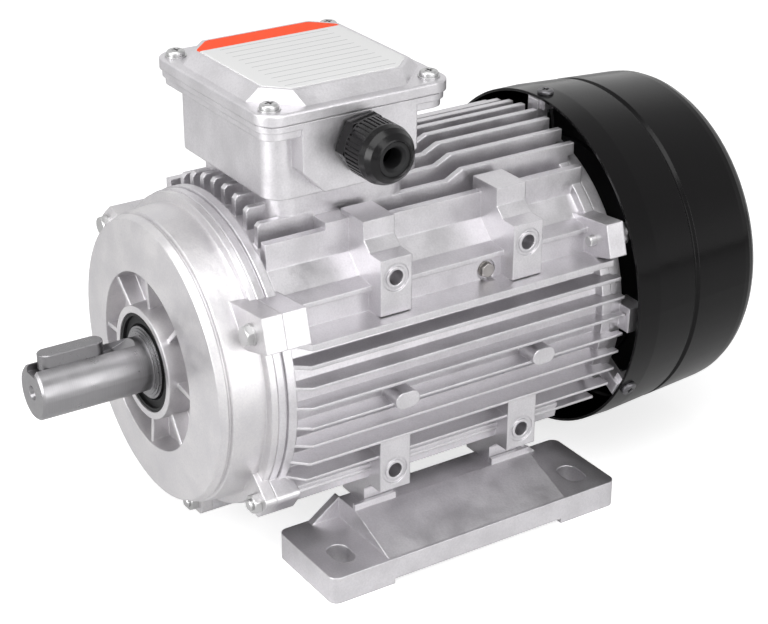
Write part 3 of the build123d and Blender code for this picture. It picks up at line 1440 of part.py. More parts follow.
def box_lid():
    """The lid with its raised bevelled panel."""
    bottom = RIM_Z + LID_GASKET_T
    top = bottom + LID_T
    peak = top + LID_RISE
    plate = rounded(LID_HALF_X, LID_HALF_Y, LID_CORNER_R, bottom, top)
    plate = fillet(plate.edges().group_by(Axis.Z)[-1], 1.0)
    low = octagon(PANEL_BASE_X, PANEL_BASE_Y, PANEL_BASE_CUT, top - 0.01)
    high = octagon(PANEL_TOP_X, PANEL_TOP_Y, PANEL_TOP_CUT, peak)
    panel = loft([low, high], ruled=True)
    inset = LID_WALL
    low_in = octagon(PANEL_BASE_X - inset, PANEL_BASE_Y - inset, PANEL_BASE_CUT, bottom - 1)
    high_in = octagon(PANEL_TOP_X - inset, PANEL_TOP_Y - inset, PANEL_TOP_CUT, peak - inset)
    hollow = loft([low_in, high_in], ruled=True)
    cuts = [hollow]
    for x, y in lid_screw_points():
        cuts.append(rod(LID_SCREW_D / 2 + 0.2, (x, y, bottom - 1), (x, y, top + 1)))
    return plate.fuse(panel).cut(*cuts)


def rating_label():
    """The plate on the lid, bare of any maker's text."""
    peak = RIM_Z + LID_GASKET_T + LID_T + LID_RISE
    return extrude(octagon(LABEL_X, LABEL_Y, LABEL_CUT, peak), amount=LABEL_T)


def lid_screws():
    """The four lid screws."""
    top = RIM_Z + LID_GASKET_T + LID_T + LID_WASHER_T
    length = top - (RIM_Z - RIM_T - STEP_T) - 0.2
    parts = []
    for x, y in lid_screw_points():
        screw = pan_screw(LID_SCREW_D, length, LID_SCREW_HEAD_D, LID_SCREW_HEAD_H)
        parts.append(put(screw, x, y, top))
    return parts


def lid_washers():
    """The washers under the lid screw heads."""
    top = RIM_Z + LID_GASKET_T + LID_T + LID_WASHER_T
    parts = []
    for x, y in lid_screw_points():
        parts.append(put(washer(LID_WASHER_D, LID_SCREW_D, LID_WASHER_T), x, y, top))
    return parts


def box_screws():
    """The four screws that hold the box on the neck."""
    top = NECK_TOP_Z + BOX_GASKET_T + BASE_FLOOR
    length = top - NECK_TOP_Z + 9
    parts = []
    for x, y in box_screw_points():
        parts.append(put(pan_screw(M5_D, length, 9.0, 3.4), x, y, top))
    return parts


def earth_terminal():
    """The earth screw on the box floor."""
    top = NECK_TOP_Z + BOX_GASKET_T + BASE_FLOOR
    return put(hex_bolt(4.0, 2.9, 7.0, 2.8, 8.0, 0.8), EARTH_X, BOX_Y, top)


def frame_earth_screw():
    """The earth screw on the corner rail, with its washer."""
    bolt = hex_bolt(EARTH_SCREW_D, EARTH_SHANK, 6.0, 2.2, 7.0, 0.8)
    return aim(bolt, (EARTH_SEAT_X, EARTH_SCREW_Y, EARTH_SCREW_Z), (1, 0, 0))


def terminal_block():
    """The insulating block that carries the six studs."""
    x0, x1, y0, y1, height = BLOCK
    floor = NECK_TOP_Z + BOX_GASKET_T + BASE_FLOOR
    body = block(x0, x1, y0, y1, floor, floor + height)
    cuts = []
    for x, y in stud_points():
        cuts.append(rod(STUD_D / 2, (x, y, floor + 2), (x, y, floor + height + 1)))
    for i in (0, 1):
        y = BOX_Y + (i - 0.5) * STUD_PITCH
        cuts.append(block(x0 - 1, x1 + 1, y - 1.2, y + 1.2, floor + height - 2, floor + height + 1))
    return body.cut(*cuts)


def stud_points():
    """Centres of the terminal studs."""
    return [(x, BOX_Y + i * STUD_PITCH) for x in STUD_X for i in (-1, 0, 1)]


def terminal_studs():
    """The six brass studs."""
    floor = NECK_TOP_Z + BOX_GASKET_T + BASE_FLOOR
    height = BLOCK[4]
    return [rod(STUD_D / 2, (x, y, floor + 2), (x, y, floor + height + 13)) for x, y in stud_points()]


def link_z():
    """The height of the underside of the links."""
    return NECK_TOP_Z + BOX_GASKET_T + BASE_FLOOR + BLOCK[4]


def terminal_links():
    """The three bridging links between the stud rows."""
    parts = []
    for i in (-1, 0, 1):
        y = BOX_Y + i * STUD_PITCH
        x0 = STUD_X[0] - 4
        x1 = STUD_X[1] + 4
        bar = block(x0, x1, y - 4, y + 4, link_z(), link_z() + LINK_T)
        holes = [rod(STUD_D / 2, (x, y, link_z() - 1), (x, y, link_z() + 3)) for x in STUD_X]
        parts.append(bar.cut(*holes))
    return parts


def terminal_nuts():
    """The nuts above the links and above the lead eyes."""
    parts = []
    for x, y in stud_points():
        z = link_z() + LINK_T
        for height in (z, z + STUD_NUT_T + LINK_T):
            nut = put(hexagon(STUD_NUT_AF, STUD_NUT_T), x, y, height)
            parts.append(nut - rod(STUD_D / 2, (x, y, height - 1), (x, y, height + 5)))
    return parts


def winding_leads():
    """The six leads from the end windings to the studs."""
    eye_z = link_z() + LINK_T + STUD_NUT_T
    y0 = CORE_FRONT_Y - 6
    parts = []
    for row, sx in enumerate(STUD_X):
        for i in (1, 0, -1):
            place = row * 3 + (1 - i)
            x0 = -19.0 + 2.8 * place
            start_z = SHAFT_HEIGHT + sqrt(COIL_OUTER_R ** 2 - x0 ** 2) + 0.45
            y = BOX_Y + i * STUD_PITCH
            side = 1 if row else -1
            end = (sx + side * 6.2, y, eye_z + LINK_T / 2)
            if row == 0:
                path = Spline(
                    (x0, y0, start_z),
                    (x0, y0, eye_z - 10),
                    (x0 + 6, (y0 + y) / 2, eye_z + 1),
                    end,
                    tangents=((0, 0, 1), (1, 0, 0)),
                )
            else:
                path = Spline(
                    (x0, y0, start_z),
                    (x0, y0, eye_z - 4),
                    (8, y - 2, eye_z + LEAD_LOOP_RISE),
                    (sx + 11, y, eye_z + 8),
                    end,
                    tangents=((0, 0, 1), (-1, 0, -0.15)),
                )
            wire = sweep(Plane(origin=path @ 0, z_dir=path % 0) * Circle(LEAD_R), path=path)
            eye = extrude(Pos(sx, y, eye_z) * (Circle(3.6) - Circle(STUD_D / 2)), amount=LINK_T)
            x_left = min(sx + side * 3, end[0])
            x_right = max(sx + side * 3, end[0] + 0.2)
            neck = block(x_left, x_right, y - 1.2, y + 1.2, eye_z, eye_z + LINK_T)
            parts.append(wire.fuse(eye, neck))
    return parts


def gland_washer():
    """The sealing washer of the gland."""
    ring = extrude(Circle(GLAND_WASHER_D / 2) - Circle(GLAND_THREAD_D / 2), amount=GLAND_WASHER_T)
    return aim(ring, (RIM_HALF_X, BOX_Y, GLAND_Z), (1, 0, 0))


def gland_body():
    """The gland body with its hexagon and inner thread."""
    hex_x = RIM_HALF_X + GLAND_WASHER_T
    inner_x = RIM_HALF_X - ENTRY_WALL - GLAND_NUT_T - 1.5
    bore = GLAND_THREAD_D / 2 - 2
    thread = rod(GLAND_THREAD_D / 2, (inner_x, BOX_Y, GLAND_Z), (hex_x + 1, BOX_Y, GLAND_Z))
    prism = Rot(0, 0, GLAND_HEX_TURN) * hexagon(GLAND_HEX_AF, GLAND_HEX_LENGTH)
    prism = aim(prism, (hex_x, BOX_Y, GLAND_Z), (1, 0, 0), (0, 1, 0))
    end_x = hex_x + GLAND_HEX_LENGTH + GLAND_CAP_LENGTH * 0.45
    spout = rod(GLAND_CAP_R - 2.4, (hex_x + 1, BOX_Y, GLAND_Z), (end_x, BOX_Y, GLAND_Z))
    hole = rod(bore, (inner_x - 1, BOX_Y, GLAND_Z), (end_x + 1, BOX_Y, GLAND_Z))
    return thread.fuse(prism, spout) - hole


def gland_profile():
    """The cap nut turned about the gland axis, as (radius, distance)."""
    length = GLAND_CAP_LENGTH
    r = GLAND_CAP_R
    return [
        (r - 2.4, 0.3),
        (r - 0.5, 0.3),
        (r, 0.8),
        (r, length * 0.62),
        (r - 0.7, length * 0.76),
        (r - 2.2, length * 0.89),
        (r - 4.2, length * 0.98),
        (GLAND_OPENING_R + 0.5, length),
        (GLAND_OPENING_R, length - 0.5),
        (GLAND_OPENING_R, length * 0.45),
        (r - 2.4, length * 0.45),
    ]


def gland_cap():
    """The ribbed cap nut of the gland."""
    face = make_face(Polyline(*[(r, d) for r, d in gland_profile()], close=True))
    nut = Rot(90, 0, 0) * revolve(face, Axis.Y)
    cuts = []
    for i in range(GLAND_RIBS):
        groove = Box(0.9, 0.9, GLAND_CAP_LENGTH * 0.5, align=(Align.CENTER, Align.CENTER, Align.MIN))
        groove = Pos(GLAND_CAP_R, 0, 1.4) * groove
        cuts.append(Rot(0, 0, i * 360 / GLAND_RIBS) * groove)
    nut = nut.cut(*cuts)
    x = RIM_HALF_X + GLAND_WASHER_T + GLAND_HEX_LENGTH
    return aim(nut, (x, BOX_Y, GLAND_Z), (1, 0, 0))


def gland_seal():
    """The rubber insert in the mouth of the gland."""
    x = RIM_HALF_X + GLAND_WASHER_T + GLAND_HEX_LENGTH
    start = GLAND_CAP_LENGTH * 0.45
    end = GLAND_CAP_LENGTH - 0.8
    face = make_face(Polyline(
        (GLAND_SEAL_R, start),
        (GLAND_OPENING_R, start),
        (GLAND_OPENING_R, end),
        (GLAND_SEAL_R + 1.2, end),
        (GLAND_SEAL_R, end - 1.6),
        close=True,
    ))
    return aim(Rot(90, 0, 0) * revolve(face, Axis.Y), (x, BOX_Y, GLAND_Z), (1, 0, 0))


def gland_locknut():
    """The locknut inside the box."""
    nut = hexagon(GLAND_NUT_AF, GLAND_NUT_T) - Cylinder(GLAND_THREAD_D / 2, GLAND_NUT_T * 3)
    x = RIM_HALF_X - ENTRY_WALL - GLAND_NUT_T
    return aim(nut, (x, BOX_Y, GLAND_Z), (1, 0, 0), (0, 1, 0))


def node(name, shape):
    """Writes one node's solids to its STEP file."""
    if isinstance(shape, list):
        solids = [solid for part in shape for solid in part.solids()]
    else:
        solids = shape.solids()
    target = solids[0] if len(solids) == 1 else Compound(children=solids)
    target.label = name
    export_step(target, os.path.join("parts", name + ".step"))


os.makedirs("parts", exist_ok=True)

right_foot = foot()
node("stator_frame", stator_frame())
node("drive_end_shield", drive_end_shield())
node("rear_end_shield", rear_end_shield())
node("right_foot", right_foot)
node("left_foot", mirrored(right_foot))
node("foot_bolts", foot_bolts())
node("foot_bolt_washers", foot_washers())
node("drive_end_bolts", drive_end_bolts())
node("drive_end_studs", drive_end_studs())
node("drive_end_nuts", drive_end_nuts())
node("rear_end_bolts", rear_end_bolts())
node("shaft", shaft())
node("shaft_key", shaft_key())
node("shaft_collar", shaft_collar())
node("shaft_seal", shaft_seal())
node("front_bearing_outer_race", outer_race(FRONT_BEARING_Y))
node("front_bearing_inner_race", inner_race(FRONT_BEARING_Y))
node("front_bearing_balls", ball_set(FRONT_BEARING_Y))
node("front_bearing_cage", ball_cage(FRONT_BEARING_Y))
node("front_bearing_shields", bearing_shields(FRONT_BEARING_Y))
node("rear_bearing_outer_race", outer_race(REAR_BEARING_Y))
node("rear_bearing_inner_race", inner_race(REAR_BEARING_Y))
node("rear_bearing_balls", ball_set(REAR_BEARING_Y))
node("rear_bearing_cage", ball_cage(REAR_BEARING_Y))
node("rear_bearing_shields", bearing_shields(REAR_BEARING_Y))
node("preload_wave_washer", wave_washer())
node("stator_core", stator_core())
node("stator_windings", stator_windings())
node("rotor_core", rotor_core())
node("rotor_cage", rotor_cage())
node("cooling_fan", fan())
node("fan_circlip", fan_circlip())
node("fan_cover", fan_cover())
node("fan_cover_screws", cover_screws())
node("terminal_box_base", box_base())
node("terminal_box_gasket", box_gasket())
node("terminal_box_lid", box_lid())
node("lid_gasket", lid_gasket())
node("lid_screws", lid_screws())
node("lid_screw_washers", lid_washers())
node("terminal_box_screws", box_screws())
node("rating_label", rating_label())
node("terminal_block", terminal_block())
node("terminal_studs", terminal_studs())
node("terminal_nuts", terminal_nuts())
node("terminal_links", terminal_links())
node("winding_leads", winding_leads())
node("box_earth_screw", earth_terminal())
node("frame_earth_screw", frame_earth_screw())
node("gland_body", gland_body())
node("gland_washer", gland_washer())
node("gland_cap_nut", gland_cap())
node("gland_seal", gland_seal())
node("gland_locknut", gland_locknut())
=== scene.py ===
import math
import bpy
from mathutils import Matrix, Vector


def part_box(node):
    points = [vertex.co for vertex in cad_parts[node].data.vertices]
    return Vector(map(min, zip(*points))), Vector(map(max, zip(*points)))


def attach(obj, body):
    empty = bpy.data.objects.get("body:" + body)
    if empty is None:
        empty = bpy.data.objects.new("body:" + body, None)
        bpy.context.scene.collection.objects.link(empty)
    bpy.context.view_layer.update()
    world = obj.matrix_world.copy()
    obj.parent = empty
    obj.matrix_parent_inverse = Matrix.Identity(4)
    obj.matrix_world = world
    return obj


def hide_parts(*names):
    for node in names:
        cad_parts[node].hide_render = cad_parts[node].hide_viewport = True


bl_info = {
    "name": "Induction Motor Looks",
    "version": (1, 0, 0),
    "blender": (4, 5, 0),
    "location": "View3D > Sidebar > Motor",
    "description": "Dresses a foot-mounted three-phase motor and sets its studio",
    "category": "Object",
}

import bpy
import numpy as np
from bpy.props import FloatProperty, FloatVectorProperty, PointerProperty
from bpy.types import Operator, Panel, PropertyGroup
from mathutils import Matrix, Vector

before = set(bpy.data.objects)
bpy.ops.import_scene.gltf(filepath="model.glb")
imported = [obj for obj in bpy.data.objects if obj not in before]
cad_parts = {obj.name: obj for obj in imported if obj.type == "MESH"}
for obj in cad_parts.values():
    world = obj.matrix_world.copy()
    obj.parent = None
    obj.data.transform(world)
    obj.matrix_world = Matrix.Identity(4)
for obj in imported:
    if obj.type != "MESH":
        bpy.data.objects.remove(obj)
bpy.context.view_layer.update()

MM = 0.001
SHAFT_Z = 0.090

# The photograph's camera, in metres, degrees and pixels
IMAGE_WIDTH = 768
CAMERA_PLACE = (0.66225, -0.42473, 0.46380)
CAMERA_AZIMUTH = 57.043
CAMERA_ELEVATION = 25.809
CAMERA_ROLL = 0.155
CAMERA_FOCAL_PX = 1907.4
SENSOR_MM = 36.0
NEAR_CLIP = 0.01
FAR_CLIP = 50.0

# Each soft light: its name, its place and side in metres, and the studio value with its power
SOFTBOXES = (
    ("key_softbox", (1.35, 0.15, 0.45), 1.1, "key_power"),
    ("front_softbox", (0.05, -1.35, 0.35), 0.8, "front_power"),
    ("top_softbox", (0.4, -0.45, 1.3), 1.3, "top_power"),
)
LIGHTS_AIM = (0.0, 0.0, 0.1)

# A ray's rise is its upward part, plus SKY_LEAN of its part toward the gland side. The surround is
# white up to a rise of FADE_START, and has the zenith's grey from FADE_END on.
SKY_LEAN = 0.35
FADE_START = 0.3
FADE_END = 0.65

# The floor, in metres, and its own glow: as the camera sees it, and the share that metal sees
FLOOR_REACH = 4.0
FLOOR_DROP = 0.0002
FLOOR_GLOW = 0.7
METAL_GLOW_SHARE = 0.25

# Most of a noise pattern lies between these two values
NOISE_LOW = 0.3
NOISE_HIGH = 0.7
BEVEL_SAMPLES = 4

# The winding's ridges come out about 7 mm apart at this scale of the wave texture
WINDING_WAVE_SCALE = 50.0

# The label, in metres where no unit is named. A rule's width is a share of the pitch.
BAND_EDGE_X = -0.0245
RULE_PITCH_MM = 5.4
RULE_SHARE = 0.065
RULE_MIDDLE_Y = -0.0375
RULE_HALF_LENGTH = 0.0265
LABEL_CORNER_CUT = 0.009
LABEL_TURNS = 160
# Each ring's share of the way out, and the film's height there, which falls to the lid at the end
RING_SHARES = (0.0, 0.25, 0.5, 0.75, 0.9, 0.97, 0.99, 0.997, 1.0, 1.0)
RING_LIFTS = (1.0, 1.0, 1.0, 1.0, 1.0, 0.98, 0.9, 0.7, 0.4, 0.0)
# Keeps a division clear of zero
TINY = 1e-9


def srgb(hex_code):
    """Turns an sRGB hex value such as C8C7C5 to linear red, green and blue."""
    parts = [int(hex_code[i:i + 2], 16) / 255 for i in (0, 2, 4)]
    return [c / 12.92 if c <= 0.04045 else ((c + 0.055) / 1.055) ** 2.4 for c in parts]


def colour_property(name, description, hex_code):
    """A colour that the sidebar shows, with its default from an sRGB hex value."""
    return FloatVectorProperty(
        name=name,
        description=description,
        subtype="COLOR",
        size=3,
        min=0.0,
        max=1.0,
        default=srgb(hex_code),
    )


def power_property(name, description, watts):
    """A light's power that the sidebar shows."""
    return FloatProperty(
        name=name,
        description=description,
        default=watts,
        min=0.0,
        subtype="POWER",
        unit="POWER",
    )


class MotorFinishes(PropertyGroup):
    """The colours and surface sizes of the motor."""

    casting: colour_property("Casting", "Bare shot-blasted die-cast aluminium", "D6D4D7")
    casting_shade: colour_property("Casting shade", "The darker patches of the casting skin", "C9C7CA")
    tumbled: colour_property("Tumbled casting", "The drive end shield's smoother skin", "D3D1D2")
    shaft_steel: colour_property("Shaft steel", "Turned and ground carbon steel", "949395")
    key_steel: colour_property("Key steel", "Drawn steel of the key and the collar", "868587")
    bright_steel: colour_property("Bearing steel", "Polished bearing and clip steel", "B9B8B8")
    sheet_steel: colour_property("Sheet steel", "The edges of the cores' sheets", "6E6C6A")
    copper: colour_property("Copper", "Enamelled winding wire", "A65A2E")
    plating: colour_property("Plating", "Clear zinc plating on the fasteners", "BDBDBD")
    dull_plating: colour_property("Dull plating", "Worn plating on the frame's earth screw", "A8A5A2")
    blackening: colour_property("Blackening", "Blackened steel of the fan cover's screws", "6A696C")
    brass: colour_property("Brass", "Turned brass of the terminals", "C9A860")
    cover_paint: colour_property("Cover paint", "Gloss black powder coat on the fan cover", "050405")
    fan_plastic: colour_property("Fan plastic", "Black polypropylene of the fan", "1C1C1E")
    gland_plastic: colour_property("Gland plastic", "Black moulded nylon", "080709")
    rubber: colour_property("Rubber", "Black nitrile rubber of the seals and gaskets", "1E1E1F")
    sleeving: colour_property("Sleeving", "The sleeves of the winding leads", "2B2B2E")
    phenolic: colour_property("Phenolic", "Brown resin of the terminal block", "4A2E1E")
    label_film: colour_property("Label film", "White printed film on the lid", "D9D9D9")
    label_rule: colour_property("Label rules", "The ruled lines on the film", "9A9A9C")
    label_band: colour_property("Label band", "The plain band along the label's top edge", "F2480E")
    grit: FloatProperty(
        name="Grit",
        description="Size of the shot-blast grain on the castings, in millimetres",
        default=0.9,
        min=0.2,
        max=4.0,
    )
    edge_round: FloatProperty(
        name="Edge rounding",
        description="Radius that the castings' edges catch light with, in millimetres",
        default=0.8,
        min=0.0,
        max=3.0,
    )


class MotorStudio(PropertyGroup):
    """The lights and the floor around the motor."""

    key_power: power_property("Key", "Power of the large light on the gland side", 9.5)
    front_power: power_property("Front", "Power of the light that faces the drive end", 12.0)
    top_power: power_property("Top", "Power of the overhead light in front of the motor", 16.0)
    sky: FloatProperty(
        name="Sky",
        description="Strength of the even light from all round",
        default=0.32,
        min=0.0,
    )
    zenith: FloatProperty(
        name="Zenith",
        description="How bright metal sees the surround straight above, where the horizon is 1",
        default=0.68,
        min=0.0,
        max=1.0,
    )
    paper: colour_property("Paper", "The matt white floor", "D4D4D4")


def rgba(colour):
    """A colour with full opacity."""
    return (colour[0], colour[1], colour[2], 1.0)


def shaded(colour, share):
    """A colour made darker by a share below 1, or lighter by one above 1."""
    return [min(1.0, c * share) for c in colour]


def per_metre(size_mm):
    """The texture scale at which one cell or period is the given number of millimetres."""
    return 1.0 / (size_mm * MM)


def add_node(tree, kind, links=None, values=None, **settings):
    """Adds one shader node with its settings, its fixed inputs and its links."""
    made = tree.nodes.new("ShaderNode" + kind)
    for key, value in settings.items():
        setattr(made, key, value)
    for socket, value in (values or {}).items():
        made.inputs[socket].default_value = value
    for socket, source in (links or {}).items():
        tree.links.new(source, made.inputs[socket])
    return made


def maths(tree, operation, *terms):
    """The result of one Math node, whose terms are sockets or plain numbers."""
    made = add_node(tree, "Math", operation=operation)
    for slot, term in enumerate(terms):
        if isinstance(term, (int, float)):
            made.inputs[slot].default_value = term
        else:
            tree.links.new(term, made.inputs[slot])
    return made.outputs[0]


def noise(tree, place, size_mm, detail, roughness=0.5):
    """A noise pattern in space, with cells of the given size."""
    values = {"Scale": per_metre(size_mm), "Detail": detail, "Roughness": roughness}
    return add_node(tree, "TexNoise", {"Vector": place}, values).outputs["Fac"]


def line_noise(tree, along, size_mm, detail):
    """A noise pattern that changes along one line only."""
    values = {"Scale": per_metre(size_mm), "Detail": detail}
    return add_node(tree, "TexNoise", {"W": along}, values, noise_dimensions="1D").outputs["Fac"]


def vary(tree, pattern, least, most):
    """A value that follows a noise pattern from least to most."""
    values = {"From Min": NOISE_LOW, "From Max": NOISE_HIGH, "To Min": least, "To Max": most}
    return add_node(tree, "MapRange", {"Value": pattern}, values).outputs[0]


def two_tone(tree, pattern, dark, light, low=NOISE_LOW, high=NOISE_HIGH):
    """A colour that goes from dark to light as the pattern goes from low to high."""
    ramp = add_node(tree, "ValToRGB", {"Fac": pattern})
    first, last = ramp.color_ramp.elements
    first.position = low
    first.color = rgba(dark)
    last.position = high
    last.color = rgba(light)
    return ramp.outputs[0]


def round_edges(tree, radius_mm):
    """A normal that rounds the edges, so that they catch light."""
    return add_node(tree, "Bevel", values={"Radius": radius_mm * MM}, samples=BEVEL_SAMPLES).outputs[0]


def relief(tree, height, strength, depth_mm, under=None):
    """Small relief from a pattern, on top of another normal where one is given."""
    links = {"Height": height}
    if under is not None:
        links["Normal"] = under
    return add_node(tree, "Bump", links, {"Strength": strength, "Distance": depth_mm * MM}).outputs[0]


def new_material(name):
    """An empty material and its node tree."""
    material = bpy.data.materials.new(name)
    material.use_nodes = True
    tree = material.node_tree
    tree.nodes.clear()
    return material, tree


def object_place(tree):
    """The object coordinates, which every pattern reads."""
    return add_node(tree, "TexCoord").outputs["Object"]


def finish_material(material, tree, shader):
    """Joins the shader to the material's output."""
    add_node(tree, "OutputMaterial", {"Surface": shader.outputs[0]})
    return material


def cast_skin(name, finishes, light, roughness, grain_depth_mm):
    """Die-cast aluminium, shot-blasted: a soft grey metal sheen, fine grain and cloudy patches.

    Clouds of 14 mm vary the grey and the sheen, hollows of 9 mm wave the skin, and the blasting
    grain has the size that the sidebar shows.
    """
    material, tree = new_material(name)
    place = object_place(tree)
    clouds = noise(tree, place, size_mm=14.0, detail=5.0, roughness=0.6)
    specks = noise(tree, place, size_mm=finishes.grit, detail=3.0, roughness=0.7)
    waves = noise(tree, place, size_mm=9.0, detail=2.0)
    patches = maths(tree, "MULTIPLY", clouds, specks)
    tint = two_tone(tree, patches, finishes.casting_shade, light, low=0.14, high=0.34)
    sheen = vary(tree, clouds, least=roughness - 0.06, most=roughness + 0.08)
    rounding = round_edges(tree, finishes.edge_round)
    hollows = relief(tree, waves, strength=0.35, depth_mm=0.5, under=rounding)
    grain = relief(tree, specks, strength=0.45, depth_mm=grain_depth_mm, under=hollows)
    shader = add_node(
        tree, "BsdfPrincipled", {"Base Color": tint, "Roughness": sheen, "Normal": grain}, {"Metallic": 0.92}
    )
    return finish_material(material, tree, shader)


def turned_steel(name, colour, roughness, ring_mm, depth_mm):
    """Lathe-turned steel: bright metal with fine rings round the shaft axis.

    The rings follow the sum of the distance along the shaft and the radius, so that they run round
    the cylinders and in circles on the end face. Real tool marks of 0.1 mm are drawn coarser to show.
    """
    material, tree = new_material(name)
    place = object_place(tree)
    centred = add_node(tree, "Mapping", {"Vector": place}, {"Location": (0, 0, -SHAFT_Z)})
    split = add_node(tree, "SeparateXYZ", {"Vector": centred.outputs[0]})
    flat = add_node(tree, "CombineXYZ", {"X": split.outputs["X"], "Y": split.outputs["Z"]})
    radius = add_node(tree, "VectorMath", {0: flat.outputs[0]}, operation="LENGTH")
    along = maths(tree, "ADD", radius.outputs["Value"], split.outputs["Y"])
    rings = line_noise(tree, along, size_mm=ring_mm, detail=2.0)
    stains = noise(tree, place, size_mm=7.0, detail=4.0)
    sheen = vary(tree, stains, least=roughness - 0.05, most=roughness + 0.1)
    tint = two_tone(tree, rings, shaded(colour, 0.92), colour)
    rounding = round_edges(tree, radius_mm=0.3)
    marks = relief(tree, rings, strength=0.2, depth_mm=depth_mm, under=rounding)
    shader = add_node(
        tree, "BsdfPrincipled", {"Base Color": tint, "Roughness": sheen, "Normal": marks}, {"Metallic": 1.0}
    )
    return finish_material(material, tree, shader)


def small_metal(name, colour, roughness):
    """Plated or polished small metal pieces, with slight handling marks of 2 mm."""
    material, tree = new_material(name)
    place = object_place(tree)
    marks = noise(tree, place, size_mm=2.0, detail=4.0)
    sheen = vary(tree, marks, least=roughness - 0.05, most=roughness + 0.1)
    rounding = round_edges(tree, radius_mm=0.25)
    dents = relief(tree, marks, strength=0.15, depth_mm=0.02, under=rounding)
    shader = add_node(
        tree, "BsdfPrincipled", {"Roughness": sheen, "Normal": dents},
        {"Base Color": rgba(colour), "Metallic": 1.0},
    )
    return finish_material(material, tree, shader)


def black_coating(name, colour):
    """Gloss black powder coat on pressed steel, with an orange peel of 2.5 mm.

    Clouds of 11 mm vary its gloss a little, as dust does.
    """
    material, tree = new_material(name)
    place = object_place(tree)
    peel = noise(tree, place, size_mm=2.5, detail=2.0)
    dust = noise(tree, place, size_mm=11.0, detail=6.0)
    sheen = vary(tree, dust, least=0.14, most=0.22)
    rounding = round_edges(tree, radius_mm=0.5)
    skin = relief(tree, peel, strength=0.25, depth_mm=0.06, under=rounding)
    shader = add_node(
        tree, "BsdfPrincipled", {"Roughness": sheen, "Normal": skin},
        {"Base Color": rgba(colour), "IOR": 1.5, "Specular IOR Level": 0.2},
    )
    return finish_material(material, tree, shader)


def moulded(name, colour, roughness, grain_mm):
    """Moulded plastic or rubber: one dye in clouds of 8 mm, and the fine grain of the mould."""
    material, tree = new_material(name)
    place = object_place(tree)
    grain = noise(tree, place, size_mm=grain_mm, detail=3.0)
    clouds = noise(tree, place, size_mm=8.0, detail=3.0)
    tint = two_tone(tree, clouds, shaded(colour, 0.85), shaded(colour, 1.12))
    rounding = round_edges(tree, radius_mm=0.25)
    skin = relief(tree, grain, strength=0.3, depth_mm=0.05, under=rounding)
    shader = add_node(
        tree, "BsdfPrincipled", {"Base Color": tint, "Normal": skin},
        {"Roughness": roughness, "IOR": 1.5, "Specular IOR Level": 0.3},
    )
    return finish_material(material, tree, shader)


def stacked_sheets(name, colour):
    """Lamination stack: dark sheet edges, drawn 1.5 mm thick where the real ones are 0.5 mm."""
    material, tree = new_material(name)
    split = add_node(tree, "SeparateXYZ", {"Vector": object_place(tree)})
    sheets = line_noise(tree, split.outputs["Y"], size_mm=1.5, detail=1.0)
    edges = relief(tree, sheets, strength=0.8, depth_mm=0.3)
    shader = add_node(
        tree, "BsdfPrincipled", {"Normal": edges},
        {"Base Color": rgba(colour), "Metallic": 0.9, "Roughness": 0.45},
    )
    return finish_material(material, tree, shader)


def enamelled_copper(name, colour):
    """Enamelled copper wire in varnish: ridges that wander round the winding, as bundles do."""
    material, tree = new_material(name)
    bundles = add_node(
        tree, "TexWave", {"Vector": object_place(tree)},
        {"Scale": WINDING_WAVE_SCALE, "Distortion": 6.0, "Detail": 2.0, "Detail Scale": 1.5},
        bands_direction="DIAGONAL",
    )
    ridges = relief(tree, bundles.outputs["Fac"], strength=0.9, depth_mm=0.5)
    shader = add_node(
        tree, "BsdfPrincipled", {"Normal": ridges},
        {"Base Color": rgba(colour), "Metallic": 0.7, "Roughness": 0.35, "Coat Weight": 0.4},
    )
    return finish_material(material, tree, shader)


def label_material(finishes):
    """Printed polyester film: satin white, a plain colour band on one edge and ruled grey lines."""
    material, tree = new_material("printed_polyester_film")
    place = object_place(tree)
    split = add_node(tree, "SeparateXYZ", {"Vector": place})
    across = split.outputs["X"]
    on_band = maths(tree, "LESS_THAN", across, BAND_EDGE_X)
    row = maths(tree, "FRACT", maths(tree, "MULTIPLY", across, per_metre(RULE_PITCH_MM)))
    on_rule = maths(tree, "LESS_THAN", row, RULE_SHARE)
    from_middle = maths(tree, "ABSOLUTE", maths(tree, "SUBTRACT", split.outputs["Y"], RULE_MIDDLE_Y))
    within = maths(tree, "LESS_THAN", from_middle, RULE_HALF_LENGTH)
    inked = maths(tree, "MULTIPLY", on_rule, within)
    ruled = add_node(
        tree, "MixRGB", {"Fac": inked},
        {"Color1": rgba(finishes.label_film), "Color2": rgba(finishes.label_rule)},
    )
    whole = add_node(
        tree, "MixRGB", {"Fac": on_band, "Color1": ruled.outputs[0]}, {"Color2": rgba(finishes.label_band)}
    )
    fibre = noise(tree, place, size_mm=1.5, detail=2.0)
    skin = relief(tree, fibre, strength=0.1, depth_mm=0.02)
    shader = add_node(
        tree, "BsdfPrincipled", {"Base Color": whole.outputs[0], "Normal": skin},
        {"Roughness": 0.5, "IOR": 1.5, "Specular IOR Level": 0.2},
    )
    return finish_material(material, tree, shader)


def dress(nodes, material):
    """Gives CAD nodes a material, in each of their slots."""
    for name in nodes:
        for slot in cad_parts[name].material_slots:
            slot.material = material


def surface(name, points, faces, material, body):
    """Makes one mesh object from arrays of points and faces, and lets it ride on a body."""
    mesh = bpy.data.meshes.new(name)
    mesh.from_pydata(points.tolist(), [], faces.tolist())
    mesh.validate()
    mesh.materials.append(material)
    mesh.shade_smooth()
    piece = bpy.data.objects.new(name, mesh)
    bpy.context.scene.collection.objects.link(piece)
    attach(piece, body)
    return piece


